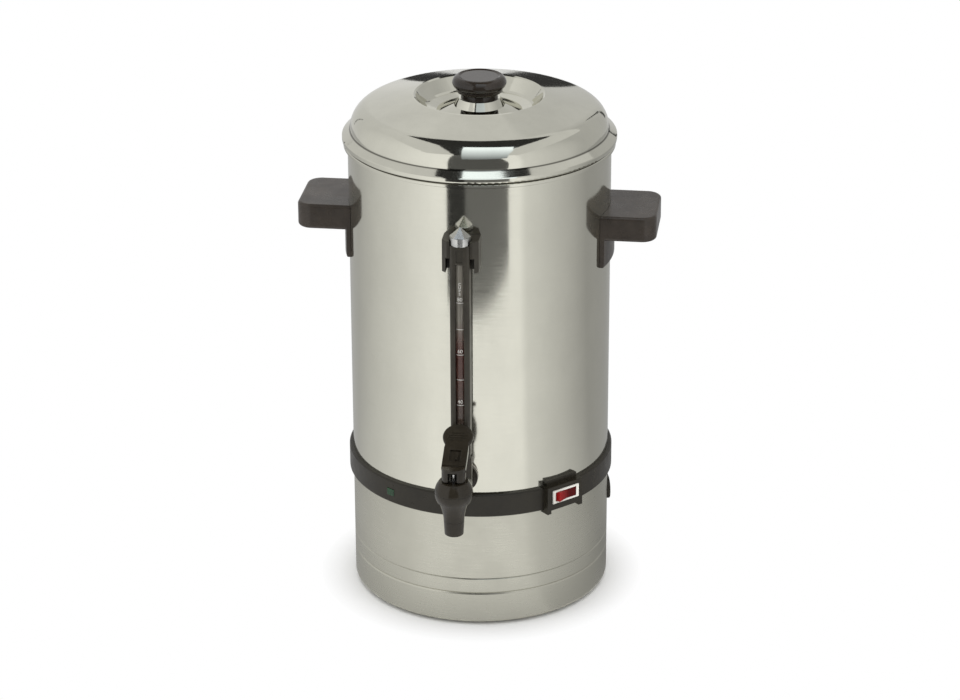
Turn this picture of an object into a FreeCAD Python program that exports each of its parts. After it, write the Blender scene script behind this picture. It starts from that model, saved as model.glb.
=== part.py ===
import FreeCAD, Part
import math
import os
import re
import Sketcher

# Coffee urn: a steel percolator tank on a base, with tap, sight gauge, lid and brewing insert.
# Millimetres. +Z is up and -Y is the front where the tap is. Pieces are made about the urn's axis
# and set back as they are named, so that the origin is on the table under the middle of the whole.

Vector = FreeCAD.Vector
Rotation = FreeCAD.Rotation
Placement = FreeCAD.Placement

document = FreeCAD.newDocument("CoffeeUrn")
document_nodes = []
places = {}

# Driving dimensions
SIZES = {
    "body_radius": (125.0, "outside of tank and base walls"),
    "tank_wall": (1.0, "tank sheet"),
    "base_wall": (1.0, "base sheet"),
    "nest_gap": (0.05, "between pieces that fit into each other"),
    "face_gap": (0.1, "between pieces that are clamped together"),
    "move_gap": (0.3, "between pieces that move apart"),
    "run_gap": (0.06, "radial clearance of pins and shafts"),
    # Base
    "foot_drop": (2.0, "feet below the pan"),
    "foot_radius": (5.0, ""),
    "foot_circle": (115.5, "radius that the feet stand on"),
    "foot_neck": (2.6, "radius of the foot in its hole"),
    "pan_corner": (4.0, "bottom edge radius"),
    "pan_ring": (14.5, "width of the ring that carries the feet"),
    "pan_recess": (5.0, "bottom plate above the ring"),
    "pan_edge": (49.4, "height of the pan's upper edge"),
    "pan_spigot": (7.0, "pan inside the skirt"),
    "bead_height": (34.0, "pressed groove round the pan"),
    "bead_half": (1.4, ""),
    "bead_depth": (0.8, ""),
    "pan_bevel": (0.7, "bevel where pan and skirt meet"),
    "seam_height": (138.9, "joint of skirt and tank, behind the band"),
    "band_bottom": (117.4, ""),
    "band_height": (23.4, ""),
    "band_depth": (3.8, "band in front of the wall"),
    "band_edge": (1.2, "band's rounded edges"),
    "rib_half": (0.9, "half the rib between skirt and tank"),
    "rib_reach": (3.0, "rib inside the wall"),
    "vent_radius": (2.5, "vent holes in the bottom plate"),
    "vent_circle": (70.0, ""),
    "vent_count": (12, ""),
    # Tank
    "rim_height": (454.5, "top of the rolled rim"),
    "rim_curl": (2.5, "radius of the rolled rim"),
    "floor_height": (145.5, "tank floor"),
    "floor_corner": (4.0, ""),
    "well_radius": (32.0, "well under the pump"),
    "well_depth": (6.0, ""),
    # Lid
    "lid_radius": (122.3, "lid wall"),
    "lid_wall": (1.0, "lid sheet"),
    "lid_plug": (16.0, "lid inside the tank"),
    "flange_radius": (130.2, "folded edge on the rim"),
    "flange_depth": (5.7, ""),
    "flange_round": (2.2, ""),
    "flange_cone": (5.2, "slope from the edge up to the wall"),
    "shoulder_radius": (22.0, ""),
    "crown_slope": (13.3, "degrees"),
    "dish_radius": (62.0, "lip of the dish round the knob"),
    "lid_straight": (1.14, "upright part above the folded edge"),
    "lip_half": (1.7, ""),
    "valley_drop": (15.5, "dish below its lip"),
    "valley_radius": (38.0, ""),
    "boss_radius": (19.6, "raised middle under the knob"),
    "boss_drop": (3.3, "top of the middle below the lip"),
    # Knob
    "knob_radius": (25.7, ""),
    "knob_height": (21.2, ""),
    "knob_neck": (17.6, "radius above the boss"),
    "knob_step": (22.0, "radius of the lower ring"),
    "knob_face": (18.6, "radius of the sunk face"),
    "knob_screw": (2.0, "radius of the screw"),
    "knob_screw_head": (4.5, ""),
    # Handles
    "handle_reach": (46.5, "grip beyond the wall"),
    "handle_half": (39.0, "half the grip's width"),
    "handle_bottom": (369.5, ""),
    "handle_thick": (24.5, ""),
    "handle_corner": (14.0, ""),
    "handle_edge": (3.0, "rounding of the grip's edges"),
    "handle_wall": (6.0, "grip round its hollow"),
    "handle_root": (11.0, "solid part of the grip at the wall"),
    "handle_top": (6.5, "grip above its hollow"),
    "plate_thick": (4.0, "mounting plate on the wall"),
    "plate_bottom": (342.5, ""),
    "plate_edge": (1.5, ""),
    "handle_screw_height": (382.5, ""),
    "handle_screw_angle": (10.0, "degrees each side of the handle's middle"),
    "screw_radius": (2.5, ""),
    "screw_head": (5.0, ""),
    "screw_head_depth": (2.6, ""),
    "screw_reach": (8.0, "screw beyond the wall"),
    # Sight gauge
    "gauge_reach": (140.0, "axis of the glass from the urn's axis"),
    "glass_radius": (6.2, ""),
    "glass_bore": (4.2, ""),
    "glass_top": (400.6, ""),
    "shield_half": (9.2, ""),
    "shield_front": (148.5, ""),
    "shield_back": (133.2, ""),
    "shield_wall": (1.6, ""),
    "shield_round": (3.0, ""),
    "window_half": (4.1, ""),
    "window_bottom": (193.0, ""),
    "window_top": (383.0, ""),
    "bracket_half": (17.0, ""),
    "bracket_back": (132.6, "front of the part behind the shield"),
    "bracket_front": (145.5, "front of the two cheeks"),
    "bracket_round": (5.0, "bevel of the cheeks"),
    "bracket_bottom": (373.5, ""),
    "bracket_top": (404.5, ""),
    "cheek_gap": (3.9, "hollow between shield and cheek"),
    "cheek_shelf": (388.0, "top of that hollow"),
    "bracket_screw_angle": (5.2, "degrees"),
    "bracket_screw_height": (392.0, ""),
    "cap_radius": (9.8, ""),
    "cap_wall": (7.6, "height of the cap's round part"),
    "cap_peak": (8.6, "height of its six sides"),
    "cap_tip": (1.2, ""),
    "cap_spigot": (5.0, "cap inside the glass"),
    # Tap
    "tap_height": (160.0, "axis of the shank"),
    "tap_reach": (194.5, "axis of the spout from the urn's axis"),
    "shank_thread": (8.0, ""),
    "shank_back": (112.0, "inner end of the shank"),
    "shank_bore": (4.0, ""),
    "shank_radius": (10.5, ""),
    "shank_nose": (9.0, "radius inside the tap"),
    "shank_front": (183.0, ""),
    "collar_radius": (14.0, ""),
    "collar_depth": (4.0, ""),
    "collar_step": (11.8, ""),
    "washer_depth": (1.6, ""),
    "nut_width": (26.0, "across flats"),
    "nut_depth": (6.0, ""),
    "socket_radius": (10.2, "holds the glass"),
    "socket_rise": (27.6, "top of the socket above the shank's axis"),
    "socket_depth": (11.6, ""),
    "socket_bore": (8.65, ""),
    "ball_radius": (18.0, ""),
    "ball_rise": (15.0, "widest part of the ball above the shank's axis"),
    "split_rise": (1.0, "joint of tap and bonnet above the widest part"),
    "shoulder_drop": (8.6, "lower end of the ball below the widest part"),
    "shoulder_inset": (1.2, "spout's upper end inside the ball's"),
    "flare_curve": (48.0, "radius of its curve"),
    "spout_neck": (9.7, ""),
    "spout_drop": (27.5, "lower end of the spout below the shank's axis"),
    "spout_bore": (6.4, ""),
    "spout_tip": (8.9, ""),
    "nozzle_drop": (1.0, "joint of spout and tap below the shank's boss"),
    "seat_drop": (4.0, "valve seat below the shank's axis"),
    "seat_bore": (4.6, ""),
    "chamber_radius": (8.6, ""),
    "boss_pipe": (12.0, "boss that takes the shank"),
    "boss_back": (168.0, ""),
    "bonnet_rise": (12.0, "flat top above the widest part of the ball"),
    "bonnet_spigot": (6.0, "bonnet inside the tap"),
    "stem_radius": (3.0, ""),
    "stem_foot": (4.6, ""),
    "cup_radius": (7.2, ""),
    "cup_floor": (5.0, ""),
    "cup_depth": (9.7, ""),
    "stem_lift": (2.6, "travel when the lever is pulled"),
    "pull_angle": (40.0, "degrees that the lever turns"),
    "pin_rise": (10.0, "lever's pin above the bonnet"),
    "pin_radius": (1.5, ""),
    "eye_radius": (4.2, ""),
    "eye_half": (3.9, ""),
    "lever_half": (11.3, "radius of the lever's round foot"),
    "lever_lean": (28.0, "degrees above level"),
    "lever_depth": (6.0, "thickness of the paddle's neck"),
    "lever_face": (4.5, "face above the pin"),
    "foot_rise": (4.6, "top of the lever's foot above the pin"),
    "window_low": (7.5, "opening in the neck, from the pin"),
    "window_high": (20.5, ""),
    "window_wide": (5.2, "half its width"),
    "window_deep": (1.6, ""),
    "mark_width": (2.4, "raised mark in the opening"),
    "brow_low": (2.0, "raised brow above the foot, from the pin"),
    "brow_high": (3.6, ""),
    "brow_proud": (0.7, ""),
    "line_pitch": (2.6, "spacing of the lines on the pad"),
    "line_depth": (0.4, ""),
    "pad_radius": (14.3, ""),
    "pad_length": (37.3, "pin to the middle of the round pad"),
    "pad_depth": (4.0, ""),
    "slot_rise": (1.6, "top of the foot's opening above the pin"),
    # Switch
    "switch_angle": (44.5, "degrees to the right of the tap"),
    "switch_height": (131.8, ""),
    "housing_half": (21.0, ""),
    "housing_face": (133.6, "front of the housing from the axis"),
    "housing_bottom": (118.2, ""),
    "housing_top": (142.4, ""),
    "tab_half": (17.8, ""),
    "tab_top": (147.6, ""),
    "tab_depth": (3.2, ""),
    "toe_width": (4.4, ""),
    "toe_drop": (3.4, ""),
    "bezel_half": (15.5, ""),
    "bezel_tall": (6.6, "half the bezel's height"),
    "bezel_depth": (1.4, ""),
    "switch_half": (13.8, ""),
    "switch_tall": (5.8, ""),
    "switch_back": (112.0, ""),
    "rocker_half": (11.2, ""),
    "rocker_tall": (4.5, ""),
    "rocker_depth": (6.0, "pivot behind the bezel's face"),
    "rocker_tilt": (8.5, "degrees"),
    "rocker_pin": (1.2, ""),
    "terminal_half": (3.1, ""),
    "terminal_reach": (8.0, ""),
    # Lamp
    "lamp_angle": (34.8, "degrees to the left of the tap"),
    "lamp_height": (128.7, ""),
    "lamp_half": (4.4, ""),
    "lamp_tall": (3.4, ""),
    "lamp_proud": (0.6, ""),
    "lamp_back": (117.0, ""),
    # Mains inlet
    "inlet_angle": (104.5, "degrees to the right of the tap"),
    "inlet_height": (85.5, ""),
    "inlet_half": (22.0, ""),
    "inlet_tall": (11.0, ""),
    "inlet_face": (126.6, ""),
    "inlet_back": (98.0, ""),
    "inlet_body_half": (18.0, ""),
    "inlet_body_tall": (9.0, ""),
    "inlet_recess_half": (16.0, ""),
    "inlet_recess_tall": (7.0, ""),
    "inlet_recess_depth": (19.0, ""),
    "inlet_pin": (2.3, ""),
    "inlet_pin_spread": (9.5, ""),
    "inlet_pin_reach": (13.0, ""),
    # Percolator insert
    "pump_radius": (6.35, ""),
    "pump_wall": (1.0, ""),
    "pump_rise": (18.0, "top of the pump above the basket's top"),
    "bell_radius": (29.5, ""),
    "bell_rise": (14.0, ""),
    "collar_height": (336.0, "ring that carries the basket"),
    "collar_thick": (2.0, ""),
    "collar_reach": (12.0, ""),
    "basket_radius": (92.0, ""),
    "basket_tall": (82.0, ""),
    "basket_wall": (1.0, ""),
    "basket_lip": (2.5, ""),
    "sleeve_radius": (8.4, ""),
    "sleeve_tall": (30.0, ""),
    "sieve_hole": (3.0, ""),
    "sieve_ring": (30.0, "spacing of the rings of holes"),
    "sieve_rings": (2, ""),
    "sieve_count": (8, "holes in a ring"),
    "spreader_rise": (5.0, ""),
    # Under the floor
    "brew_ring": (24.0, "middle of the brewing element"),
    "brew_tube": (4.0, ""),
    "warm_ring": (60.0, "middle of the warming element"),
    "warm_tube": (3.25, ""),
    "pin_drop": (16.0, "cold ends below an element"),
    "clamp_radius": (33.0, ""),
    "clamp_thick": (2.0, ""),
    "rod_radius": (4.0, ""),
    "rod_nut": (13.0, "across flats"),
    "rod_nut_depth": (4.0, ""),
    "stat_radius": (8.0, ""),
    "stat_depth": (9.0, ""),
    "stat_edge": (2.0, "flange round a control"),
    "stat_ring": (45.8, ""),
    "cutout_radius": (6.0, ""),
    "cutout_depth": (7.0, ""),
    "block_length": (40.0, ""),
    "block_width": (16.0, ""),
    "block_tall": (14.0, ""),
    "block_place": (-62.0, ""),
}

sizes = document.addObject("Spreadsheet::Sheet", "Sizes")
for row, (name, (number, note)) in enumerate(SIZES.items(), start=1):
    sizes.set(f"A{row}", name)
    sizes.set(f"B{row}", str(number))
    sizes.set(f"C{row}", note)
    sizes.setAlias(f"B{row}", name)
document.recompute()


def formula(text):
    """The sheet's form of a text that names sizes."""
    def prefixed(match):
        word = match.group(0)
        return "Sizes." + word if word in SIZES else word
    return re.sub(r"[a-z][a-z_]+", prefixed, str(text))


def value(text):
    """The present value of a text that names sizes."""
    return float(FreeCAD.Units.Quantity(sizes.evalExpression(formula(text))).Value)


def bind(item, path, text):
    """Tie a property to the sheet."""
    item.setExpression(path, formula(text))


# Places and turns
def place(item, x="0", y="0", z="0"):
    """Put an object at a point tied to the sheet, keeping its turn."""
    item.Placement.Base = Vector(value(x), value(y), value(z))
    for axis, text in (("x", x), ("y", y), ("z", z)):
        bind(item, f"Placement.Base.{axis}", text)
    places[item.Name] = (x, y, z)
    return item


def turn_about_urn(item, angle):
    """Turn a piece made at the front round the urn's axis."""
    item.Placement = Placement(Vector(0, 0, 0), Rotation(Vector(0, 0, 1), value(angle)))
    bind(item, "Placement.Rotation.Angle", angle)
    return item


def node(item, label):
    """Name a finished piece and set it back from the urn's axis."""
    item.Label = label
    x, y, z = places.get(item.Name, ("0", "0", "0"))
    place(item, x, f"({y}) + (tap_reach + ball_radius - flange_radius) / 2", z)
    document_nodes.append(item)
    return item


# Primitives
def rod(axis, radius, length, x="0", y="0", z="0"):
    """A cylinder along an axis, starting at a point."""
    item = document.addObject("Part::Cylinder", "Rod")
    bind(item, "Radius", radius)
    bind(item, "Height", length)
    directions = {"x": Vector(1, 0, 0), "y": Vector(0, 1, 0), "z": Vector(0, 0, 1), "-y": Vector(0, -1, 0)}
    item.Placement.Rotation = Rotation(Vector(0, 0, 1), directions[axis])
    return place(item, x, y, z)


def radial_rod(angle, radius, start, length, height):
    """A cylinder that points away from the urn's axis, at an angle from the right."""
    item = document.addObject("Part::Cylinder", "RadialRod")
    bind(item, "Radius", radius)
    bind(item, "Height", length)
    degrees = math.radians(value(angle))
    item.Placement.Rotation = Rotation(Vector(0, 0, 1), Vector(math.cos(degrees), math.sin(degrees), 0))
    return place(item, f"({start}) * cos({angle})", f"({start}) * sin({angle})", height)


def block(x_low, x_high, y_low, y_high, z_low, z_high):
    """A box between six planes."""
    item = document.addObject("Part::Box", "Block")
    bind(item, "Length", f"({x_high}) - ({x_low})")
    bind(item, "Width", f"({y_high}) - ({y_low})")
    bind(item, "Height", f"({z_high}) - ({z_low})")
    return place(item, x_low, y_low, z_low)


def fuse(*items):
    item = document.addObject("Part::MultiFuse", "Fusion")
    item.Shapes = list(items)
    return item


def common(*items):
    item = document.addObject("Part::MultiCommon", "Shared")
    item.Shapes = list(items)
    return item


def cut(base, *tools):
    item = document.addObject("Part::Cut", "Cut")
    item.Base = base
    item.Tool = tools[0] if len(tools) == 1 else fuse(*tools)
    return item


def group(*items):
    """Separate solids that share one node."""
    item = document.addObject("Part::Compound", "Group")
    item.Links = list(items)
    return item


def turned_tool(item, angle):
    """A tool made at the front, turned round the urn's axis."""
    return turn_about_urn(group(item), angle)


# Sketches
def origin_plane(body, role):
    return [feature for feature in body.Origin.OriginFeatures if feature.Role == role][0]


def arc_middle(start, end, radius, way):
    """Middle of the short arc between two points; way 1 keeps the centre on the left."""
    chord = end - start
    half = chord.Length / 2
    left = Vector(-chord.y, chord.x, 0).normalize()
    depth = math.sqrt(max(radius * radius - half * half, 0.0))
    return (start + end) / 2 + left * way * (depth - radius)


def draw_outline(sketch, outline):
    """Add a closed outline: each point is (x, y) or, before an arc, (x, y, radius, way)."""
    points = [Vector(value(point[0]), value(point[1]), 0) for point in outline]
    first = sketch.GeometryCount
    count = len(outline)
    geometry = []
    for index, point in enumerate(outline):
        start, end = points[index], points[(index + 1) % count]
        if len(point) == 2:
            geometry.append(Part.LineSegment(start, end))
        else:
            geometry.append(Part.Arc(start, arc_middle(start, end, value(point[2]), point[3]), end))
    sketch.addGeometry(geometry, False)
    heads = []
    for index in range(count):
        head = sketch.getPoint(first + index, 1)
        heads.append(1 if (head - points[index]).Length < (head - points[(index + 1) % count]).Length else 2)
    rules = []
    bindings = []
    for index, point in enumerate(outline):
        here = first + index
        after = first + (index + 1) % count
        rules.append(Sketcher.Constraint("Coincident", here, 3 - heads[index], after, heads[(index + 1) % count]))
        for kind, text, number in (("DistanceX", point[0], points[index].x), ("DistanceY", point[1], points[index].y)):
            bindings.append((sketch.ConstraintCount + len(rules), text))
            rules.append(Sketcher.Constraint(kind, -1, 1, here, heads[index], number))
        if len(point) > 2:
            bindings.append((sketch.ConstraintCount + len(rules), point[2]))
            rules.append(Sketcher.Constraint("Radius", here, value(point[2])))
    sketch.addConstraint(rules)
    for number, text in bindings:
        if re.search("[a-z]", str(text)):
            bind(sketch, f"Constraints[{number}]", text)


def draw_circle(sketch, x, y, radius):
    """Add a circle tied to the sheet."""
    here = sketch.GeometryCount
    centre = Vector(value(x), value(y), 0)
    sketch.addGeometry(Part.Circle(centre, Vector(0, 0, 1), value(radius)), False)
    start = sketch.ConstraintCount
    sketch.addConstraint([
        Sketcher.Constraint("DistanceX", -1, 1, here, 3, centre.x),
        Sketcher.Constraint("DistanceY", -1, 1, here, 3, centre.y),
        Sketcher.Constraint("Radius", here, value(radius)),
    ])
    for number, text in ((start, x), (start + 1, y), (start + 2, radius)):
        if re.search("[a-z]", str(text)):
            bind(sketch, f"Constraints[{number}]", text)


def new_body(name):
    return document.addObject("PartDesign::Body", name)


def sketch_on(body, role, lift="0"):
    """A sketch on one of the body's own planes, moved along the plane's normal."""
    sketch = body.newObject("Sketcher::SketchObject", "Sketch")
    sketch.AttachmentSupport = [(origin_plane(body, role), "")]
    sketch.MapMode = "FlatFace"
    if lift != "0":
        sketch.AttachmentOffset = Placement(Vector(0, 0, value(lift)), Rotation())
        bind(sketch, "AttachmentOffset.Base.z", lift)
    return sketch


def turned(name, outline):
    """A piece turned on a lathe: its half section in radius and height."""
    body = new_body(name)
    sketch = sketch_on(body, "XZ_Plane")
    draw_outline(sketch, outline)
    revolution = body.newObject("PartDesign::Revolution", "Revolution")
    revolution.Profile = sketch
    revolution.ReferenceAxis = (sketch, ["V_Axis"])
    revolution.Angle = 360
    return body


def pad(body, sketch, length, midplane=False):
    feature = body.newObject("PartDesign::Pad", "Pad")
    feature.Profile = sketch
    feature.Midplane = midplane
    bind(feature, "Length", length)
    return feature


def pocket(body, sketch, length, upward=False):
    feature = body.newObject("PartDesign::Pocket", "Pocket")
    feature.Profile = sketch
    feature.Reversed = upward
    bind(feature, "Length", length)
    return feature


def round_edges(body, feature, radius, chosen):
    """Fillet the edges of a feature that a test chooses."""
    document.recompute()
    names = [f"Edge{number}" for number, edge in enumerate(feature.Shape.Edges, start=1) if chosen(edge)]
    fillet = body.newObject("PartDesign::Fillet", "Fillet")
    fillet.Base = (feature, names)
    bind(fillet, "Radius", radius)
    return fillet


def hexagon(sketch, flats, x="0", y="0"):
    """A hexagon by its width across flats, with corners to left and right."""
    outline = []
    for corner in range(6):
        reach = f"({flats}) / (2 * cos(30))"
        outline.append((f"({x}) + {reach} * cos({60 * corner})", f"({y}) + {reach} * sin({60 * corner})"))
    draw_outline(sketch, outline)


TANK_BORE = "(body_radius - tank_wall)"
SEAM_TOP = "(seam_height + rib_half)"
SEAM_BOTTOM = "(seam_height - rib_half)"
BAND_TOP = "(band_bottom + band_height)"
BAND_RADIUS = "(body_radius + band_depth)"
LID_EDGE = "(rim_height + move_gap)"
LID_NECK = f"({LID_EDGE} + flange_depth + flange_cone)"
CROWN_TURN = "(lid_radius - shoulder_radius)"
CROWN_CENTRE = f"({LID_NECK} + lid_straight)"
DISH_TOP = (f"({CROWN_CENTRE} + (shoulder_radius + ({CROWN_TURN} - dish_radius) * sin(crown_slope))"
            f" / cos(crown_slope))")
SOCKET_TOP = "(tap_height + socket_rise)"
SOCKET_FLOOR = f"({SOCKET_TOP} - socket_depth)"
BALL = "(tap_height + ball_rise)"
TAP_SPLIT = f"({BALL} + split_rise)"
BONNET_TOP = f"({BALL} + bonnet_rise)"
PIN = f"({BONNET_TOP} + pin_rise)"
SEAT = "(tap_height - seat_drop)"
NOZZLE_TOP = "(tap_height - boss_pipe - nozzle_drop)"


# Base pan with its pressed ring, bead and spigot
def make_base_pan():
    ring_inner = "(body_radius - pan_corner - pan_ring)"
    plate = "(foot_drop + pan_recess)"
    spigot = "(body_radius - base_wall - nest_gap)"
    body = turned("base_pan", [
        ("rod_radius + face_gap", plate),
        (f"{ring_inner} - pan_recess", plate),
        (ring_inner, "foot_drop"),
        ("body_radius - pan_corner", "foot_drop", "pan_corner", 1),
        ("body_radius", "foot_drop + pan_corner"),
        ("body_radius", "bead_height - bead_half"),
        ("body_radius - bead_depth", "bead_height"),
        ("body_radius", "bead_height + bead_half"),
        ("body_radius", "pan_edge - pan_bevel"),
        ("body_radius - pan_bevel", "pan_edge"),
        (spigot, "pan_edge"),
        (spigot, "pan_edge + pan_spigot"),
        (f"{spigot} - base_wall", "pan_edge + pan_spigot"),
        (f"{spigot} - base_wall", "foot_drop + pan_corner"),
        (f"{spigot} + nest_gap - pan_corner", "foot_drop + base_wall"),
        (f"{ring_inner} + base_wall / 2", "foot_drop + base_wall"),
        (f"{ring_inner} - pan_recess + base_wall / 2", f"{plate} + base_wall"),
        ("rod_radius + face_gap", f"{plate} + base_wall"),
    ])
    vents = sketch_on(body, "XY_Plane", f"{plate} + 2 * base_wall")
    draw_circle(vents, "vent_circle", "0", "vent_radius")
    holes = pocket(body, vents, "4 * base_wall")
    repeat_round(body, holes, "vent_count")
    feet = sketch_on(body, "XY_Plane", f"{plate} + 2 * base_wall")
    draw_circle(feet, "foot_circle * cos(45)", "foot_circle * sin(45)", "foot_neck + nest_gap")
    foot_holes = pocket(body, feet, "2 * pan_recess")
    repeat_round(body, foot_holes, "4")
    return node(body, "base_pan")


def repeat_round(body, feature, count):
    """Repeat a feature round the body's upright axis."""
    document.recompute()
    pattern = body.newObject("PartDesign::PolarPattern", "PolarPattern")
    pattern.Originals = [feature]
    pattern.Axis = (origin_axis(body), [""])
    pattern.Angle = 360
    bind(pattern, "Occurrences", count)
    body.Tip = pattern
    return pattern


def origin_axis(body):
    return [feature for feature in body.Origin.OriginFeatures if feature.Role == "Z_Axis"][0]


# Four rubber feet, pushed into the pan
def make_feet():
    feet = []
    for corner in range(4):
        foot = turned("foot", [
            ("0", "0"),
            ("foot_radius - 0.8", "0"),
            ("foot_radius", "0.8"),
            ("foot_radius", "foot_drop"),
            ("foot_neck", "foot_drop"),
            ("foot_neck", "foot_drop + base_wall + nest_gap"),
            ("foot_neck + 0.9", "foot_drop + base_wall + nest_gap"),
            ("foot_neck - 0.6", "foot_drop + base_wall + 3"),
            ("0", "foot_drop + base_wall + 3"),
        ])
        angle = 45 + 90 * corner
        place(foot, f"foot_circle * cos({angle})", f"foot_circle * sin({angle})")
        feet.append(foot)
    return node(group(*feet), "rubber_feet")


# Openings that band, skirt and tank share
def switch_opening():
    tool = block("-switch_half - face_gap", "switch_half + face_gap", "-body_radius - 2 * band_depth",
                 "-switch_back", "switch_height - switch_tall - face_gap", "switch_height + switch_tall + face_gap")
    return turned_tool(tool, "switch_angle")


def lamp_opening():
    tool = block("-lamp_half - nest_gap", "lamp_half + nest_gap", "-body_radius - 2 * band_depth", "-lamp_back",
                 "lamp_height - lamp_tall - nest_gap", "lamp_height + lamp_tall + nest_gap")
    return turned_tool(tool, "-lamp_angle")


def inlet_opening():
    tool = block("-inlet_body_half - nest_gap", "inlet_body_half + nest_gap", "-body_radius - band_depth",
                 "-inlet_back", "inlet_height - inlet_body_tall - nest_gap",
                 "inlet_height + inlet_body_tall + nest_gap")
    return turned_tool(tool, "inlet_angle")


# Base skirt between pan and band
def make_skirt():
    wall = turned("skirt_wall", [
        ("body_radius - base_wall", "pan_edge + face_gap"),
        ("body_radius - pan_bevel", "pan_edge + face_gap"),
        ("body_radius", "pan_edge + face_gap + pan_bevel"),
        ("body_radius", SEAM_BOTTOM),
        ("body_radius - base_wall", SEAM_BOTTOM),
    ])
    return node(cut(wall, switch_opening(), lamp_opening(), inlet_opening()), "base_skirt")


# Black band that joins skirt and tank with a rib
def make_band():
    inner = "(body_radius + nest_gap)"
    ring = turned("band_ring", [
        (inner, "band_bottom"),
        (f"{BAND_RADIUS} - band_edge", "band_bottom"),
        (BAND_RADIUS, "band_bottom + band_edge"),
        (BAND_RADIUS, f"{BAND_TOP} - band_edge"),
        (f"{BAND_RADIUS} - band_edge", BAND_TOP),
        (inner, BAND_TOP),
        (inner, SEAM_TOP),
        ("body_radius - rib_reach", SEAM_TOP),
        ("body_radius - rib_reach", SEAM_BOTTOM),
        (inner, SEAM_BOTTOM),
    ])
    return node(cut(ring, switch_opening(), lamp_opening()), "trim_band")


# Tank wall with its rolled rim
def make_tank_wall():
    curl_radius = "(body_radius + rim_curl - tank_wall)"
    curl_height = "(rim_height - rim_curl)"
    wall = turned("tank_tube", [
        (TANK_BORE, SEAM_TOP),
        ("body_radius", SEAM_TOP),
        ("body_radius", f"{curl_height} - rim_curl"),
        (f"{curl_radius} + rim_curl", f"{curl_height} - rim_curl / 2"),
        (f"{curl_radius} + rim_curl", f"{curl_height} + rim_curl / 2"),
        (f"{curl_radius} + rim_curl / 2", "rim_height"),
        (f"{TANK_BORE} + 0.4", "rim_height"),
        (TANK_BORE, "rim_height - 0.4"),
    ])
    tools = [rod("-y", "shank_thread + face_gap", "20", "0", "-body_radius + 10", "tap_height")]
    for middle in ("0", "180"):
        for side in ("-handle_screw_angle", "handle_screw_angle"):
            tools.append(radial_rod(f"{middle} + {side}", "screw_radius + face_gap", "body_radius - 6", "12",
                                    "handle_screw_height"))
    for side in ("-bracket_screw_angle", "bracket_screw_angle"):
        tools.append(radial_rod(f"270 + {side}", "screw_radius + face_gap", "body_radius - 6", "12",
                                "bracket_screw_height"))
    return node(cut(wall, *tools), "tank_wall")


# Drawn floor with a well for the pump, welded into the wall by its flange
def make_tank_floor():
    edge = f"({TANK_BORE} - nest_gap)"
    well = "(floor_height - well_depth)"
    body = turned("tank_floor", [
        ("0", f"{well} - tank_wall"),
        ("well_radius + tank_wall", f"{well} - tank_wall"),
        ("well_radius + 3", "floor_height - tank_wall"),
        (f"{edge} - floor_corner", "floor_height - tank_wall"),
        (f"{edge} - tank_wall", "floor_height - floor_corner"),
        (f"{edge} - tank_wall", f"{SEAM_TOP} + face_gap"),
        (edge, f"{SEAM_TOP} + face_gap"),
        (edge, "floor_height - floor_corner"),
        (f"{edge} - floor_corner", "floor_height"),
        ("well_radius + 2", "floor_height"),
        ("well_radius", well),
        ("0", well),
    ])
    return node(body, "tank_floor")


# Lid: plug, folded edge, shoulder, crown, and a dish with a raised middle, in one sheet
def make_lid():
    valley = f"({DISH_TOP} - valley_drop)"
    boss = f"({DISH_TOP} - boss_drop)"
    fall = "(lip_half * tan(crown_slope))"
    inner = "(lid_radius - lid_wall)"
    arc_inner = "(shoulder_radius - lid_wall)"
    fold = "(flange_radius - 2 * lid_wall)"
    body = turned("lid_shell", [
        ("lid_radius", f"{LID_EDGE} - lid_plug"),
        ("lid_radius", LID_EDGE),
        ("flange_radius - flange_round", LID_EDGE, "flange_round", 1),
        ("flange_radius", f"{LID_EDGE} + flange_round"),
        ("flange_radius", f"{LID_EDGE} + flange_depth - 0.8"),
        ("flange_radius - 0.8", f"{LID_EDGE} + flange_depth"),
        ("lid_radius", LID_NECK),
        ("lid_radius", CROWN_CENTRE, "shoulder_radius", 1),
        (f"{CROWN_TURN} + shoulder_radius * sin(crown_slope)",
         f"{CROWN_CENTRE} + shoulder_radius * cos(crown_slope)"),
        ("dish_radius + lip_half", f"{DISH_TOP} - {fall}"),
        ("dish_radius", f"{DISH_TOP} - 0.1"),
        ("dish_radius - lip_half", f"{DISH_TOP} - 1.1"),
        ("dish_radius - 10", f"{valley} + 3.4", "16", -1),
        ("valley_radius", valley),
        ("boss_radius + 4.4", f"{valley} + 5"),
        ("boss_radius", boss),
        ("knob_screw + face_gap", boss),
        ("knob_screw + face_gap", f"{boss} - lid_wall"),
        ("boss_radius - 0.7", f"{boss} - lid_wall"),
        ("boss_radius + 3.3", f"{valley} + 4.4"),
        ("valley_radius", f"{valley} - lid_wall"),
        ("dish_radius - 9.2", f"{valley} + 2.6"),
        ("dish_radius - lip_half + 0.8", f"{DISH_TOP} - 2.3"),
        ("dish_radius + lip_half", f"{DISH_TOP} - {fall} - lid_wall"),
        (f"{CROWN_TURN} + {arc_inner} * sin(crown_slope)", f"{CROWN_CENTRE} + {arc_inner} * cos(crown_slope)"),
        (f"{CROWN_TURN} + {arc_inner} * cos(45)", f"{CROWN_CENTRE} + {arc_inner} * sin(45)"),
        (inner, CROWN_CENTRE),
        (inner, f"{LID_NECK} - 0.8"),
        (fold, f"{LID_EDGE} + flange_depth - 1.4"),
        (fold, f"{LID_EDGE} + 1.4"),
        (inner, f"{LID_EDGE} + 1.4"),
        (inner, f"{LID_EDGE} - lid_plug"),
    ])
    return node(body, "lid_shell")


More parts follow.
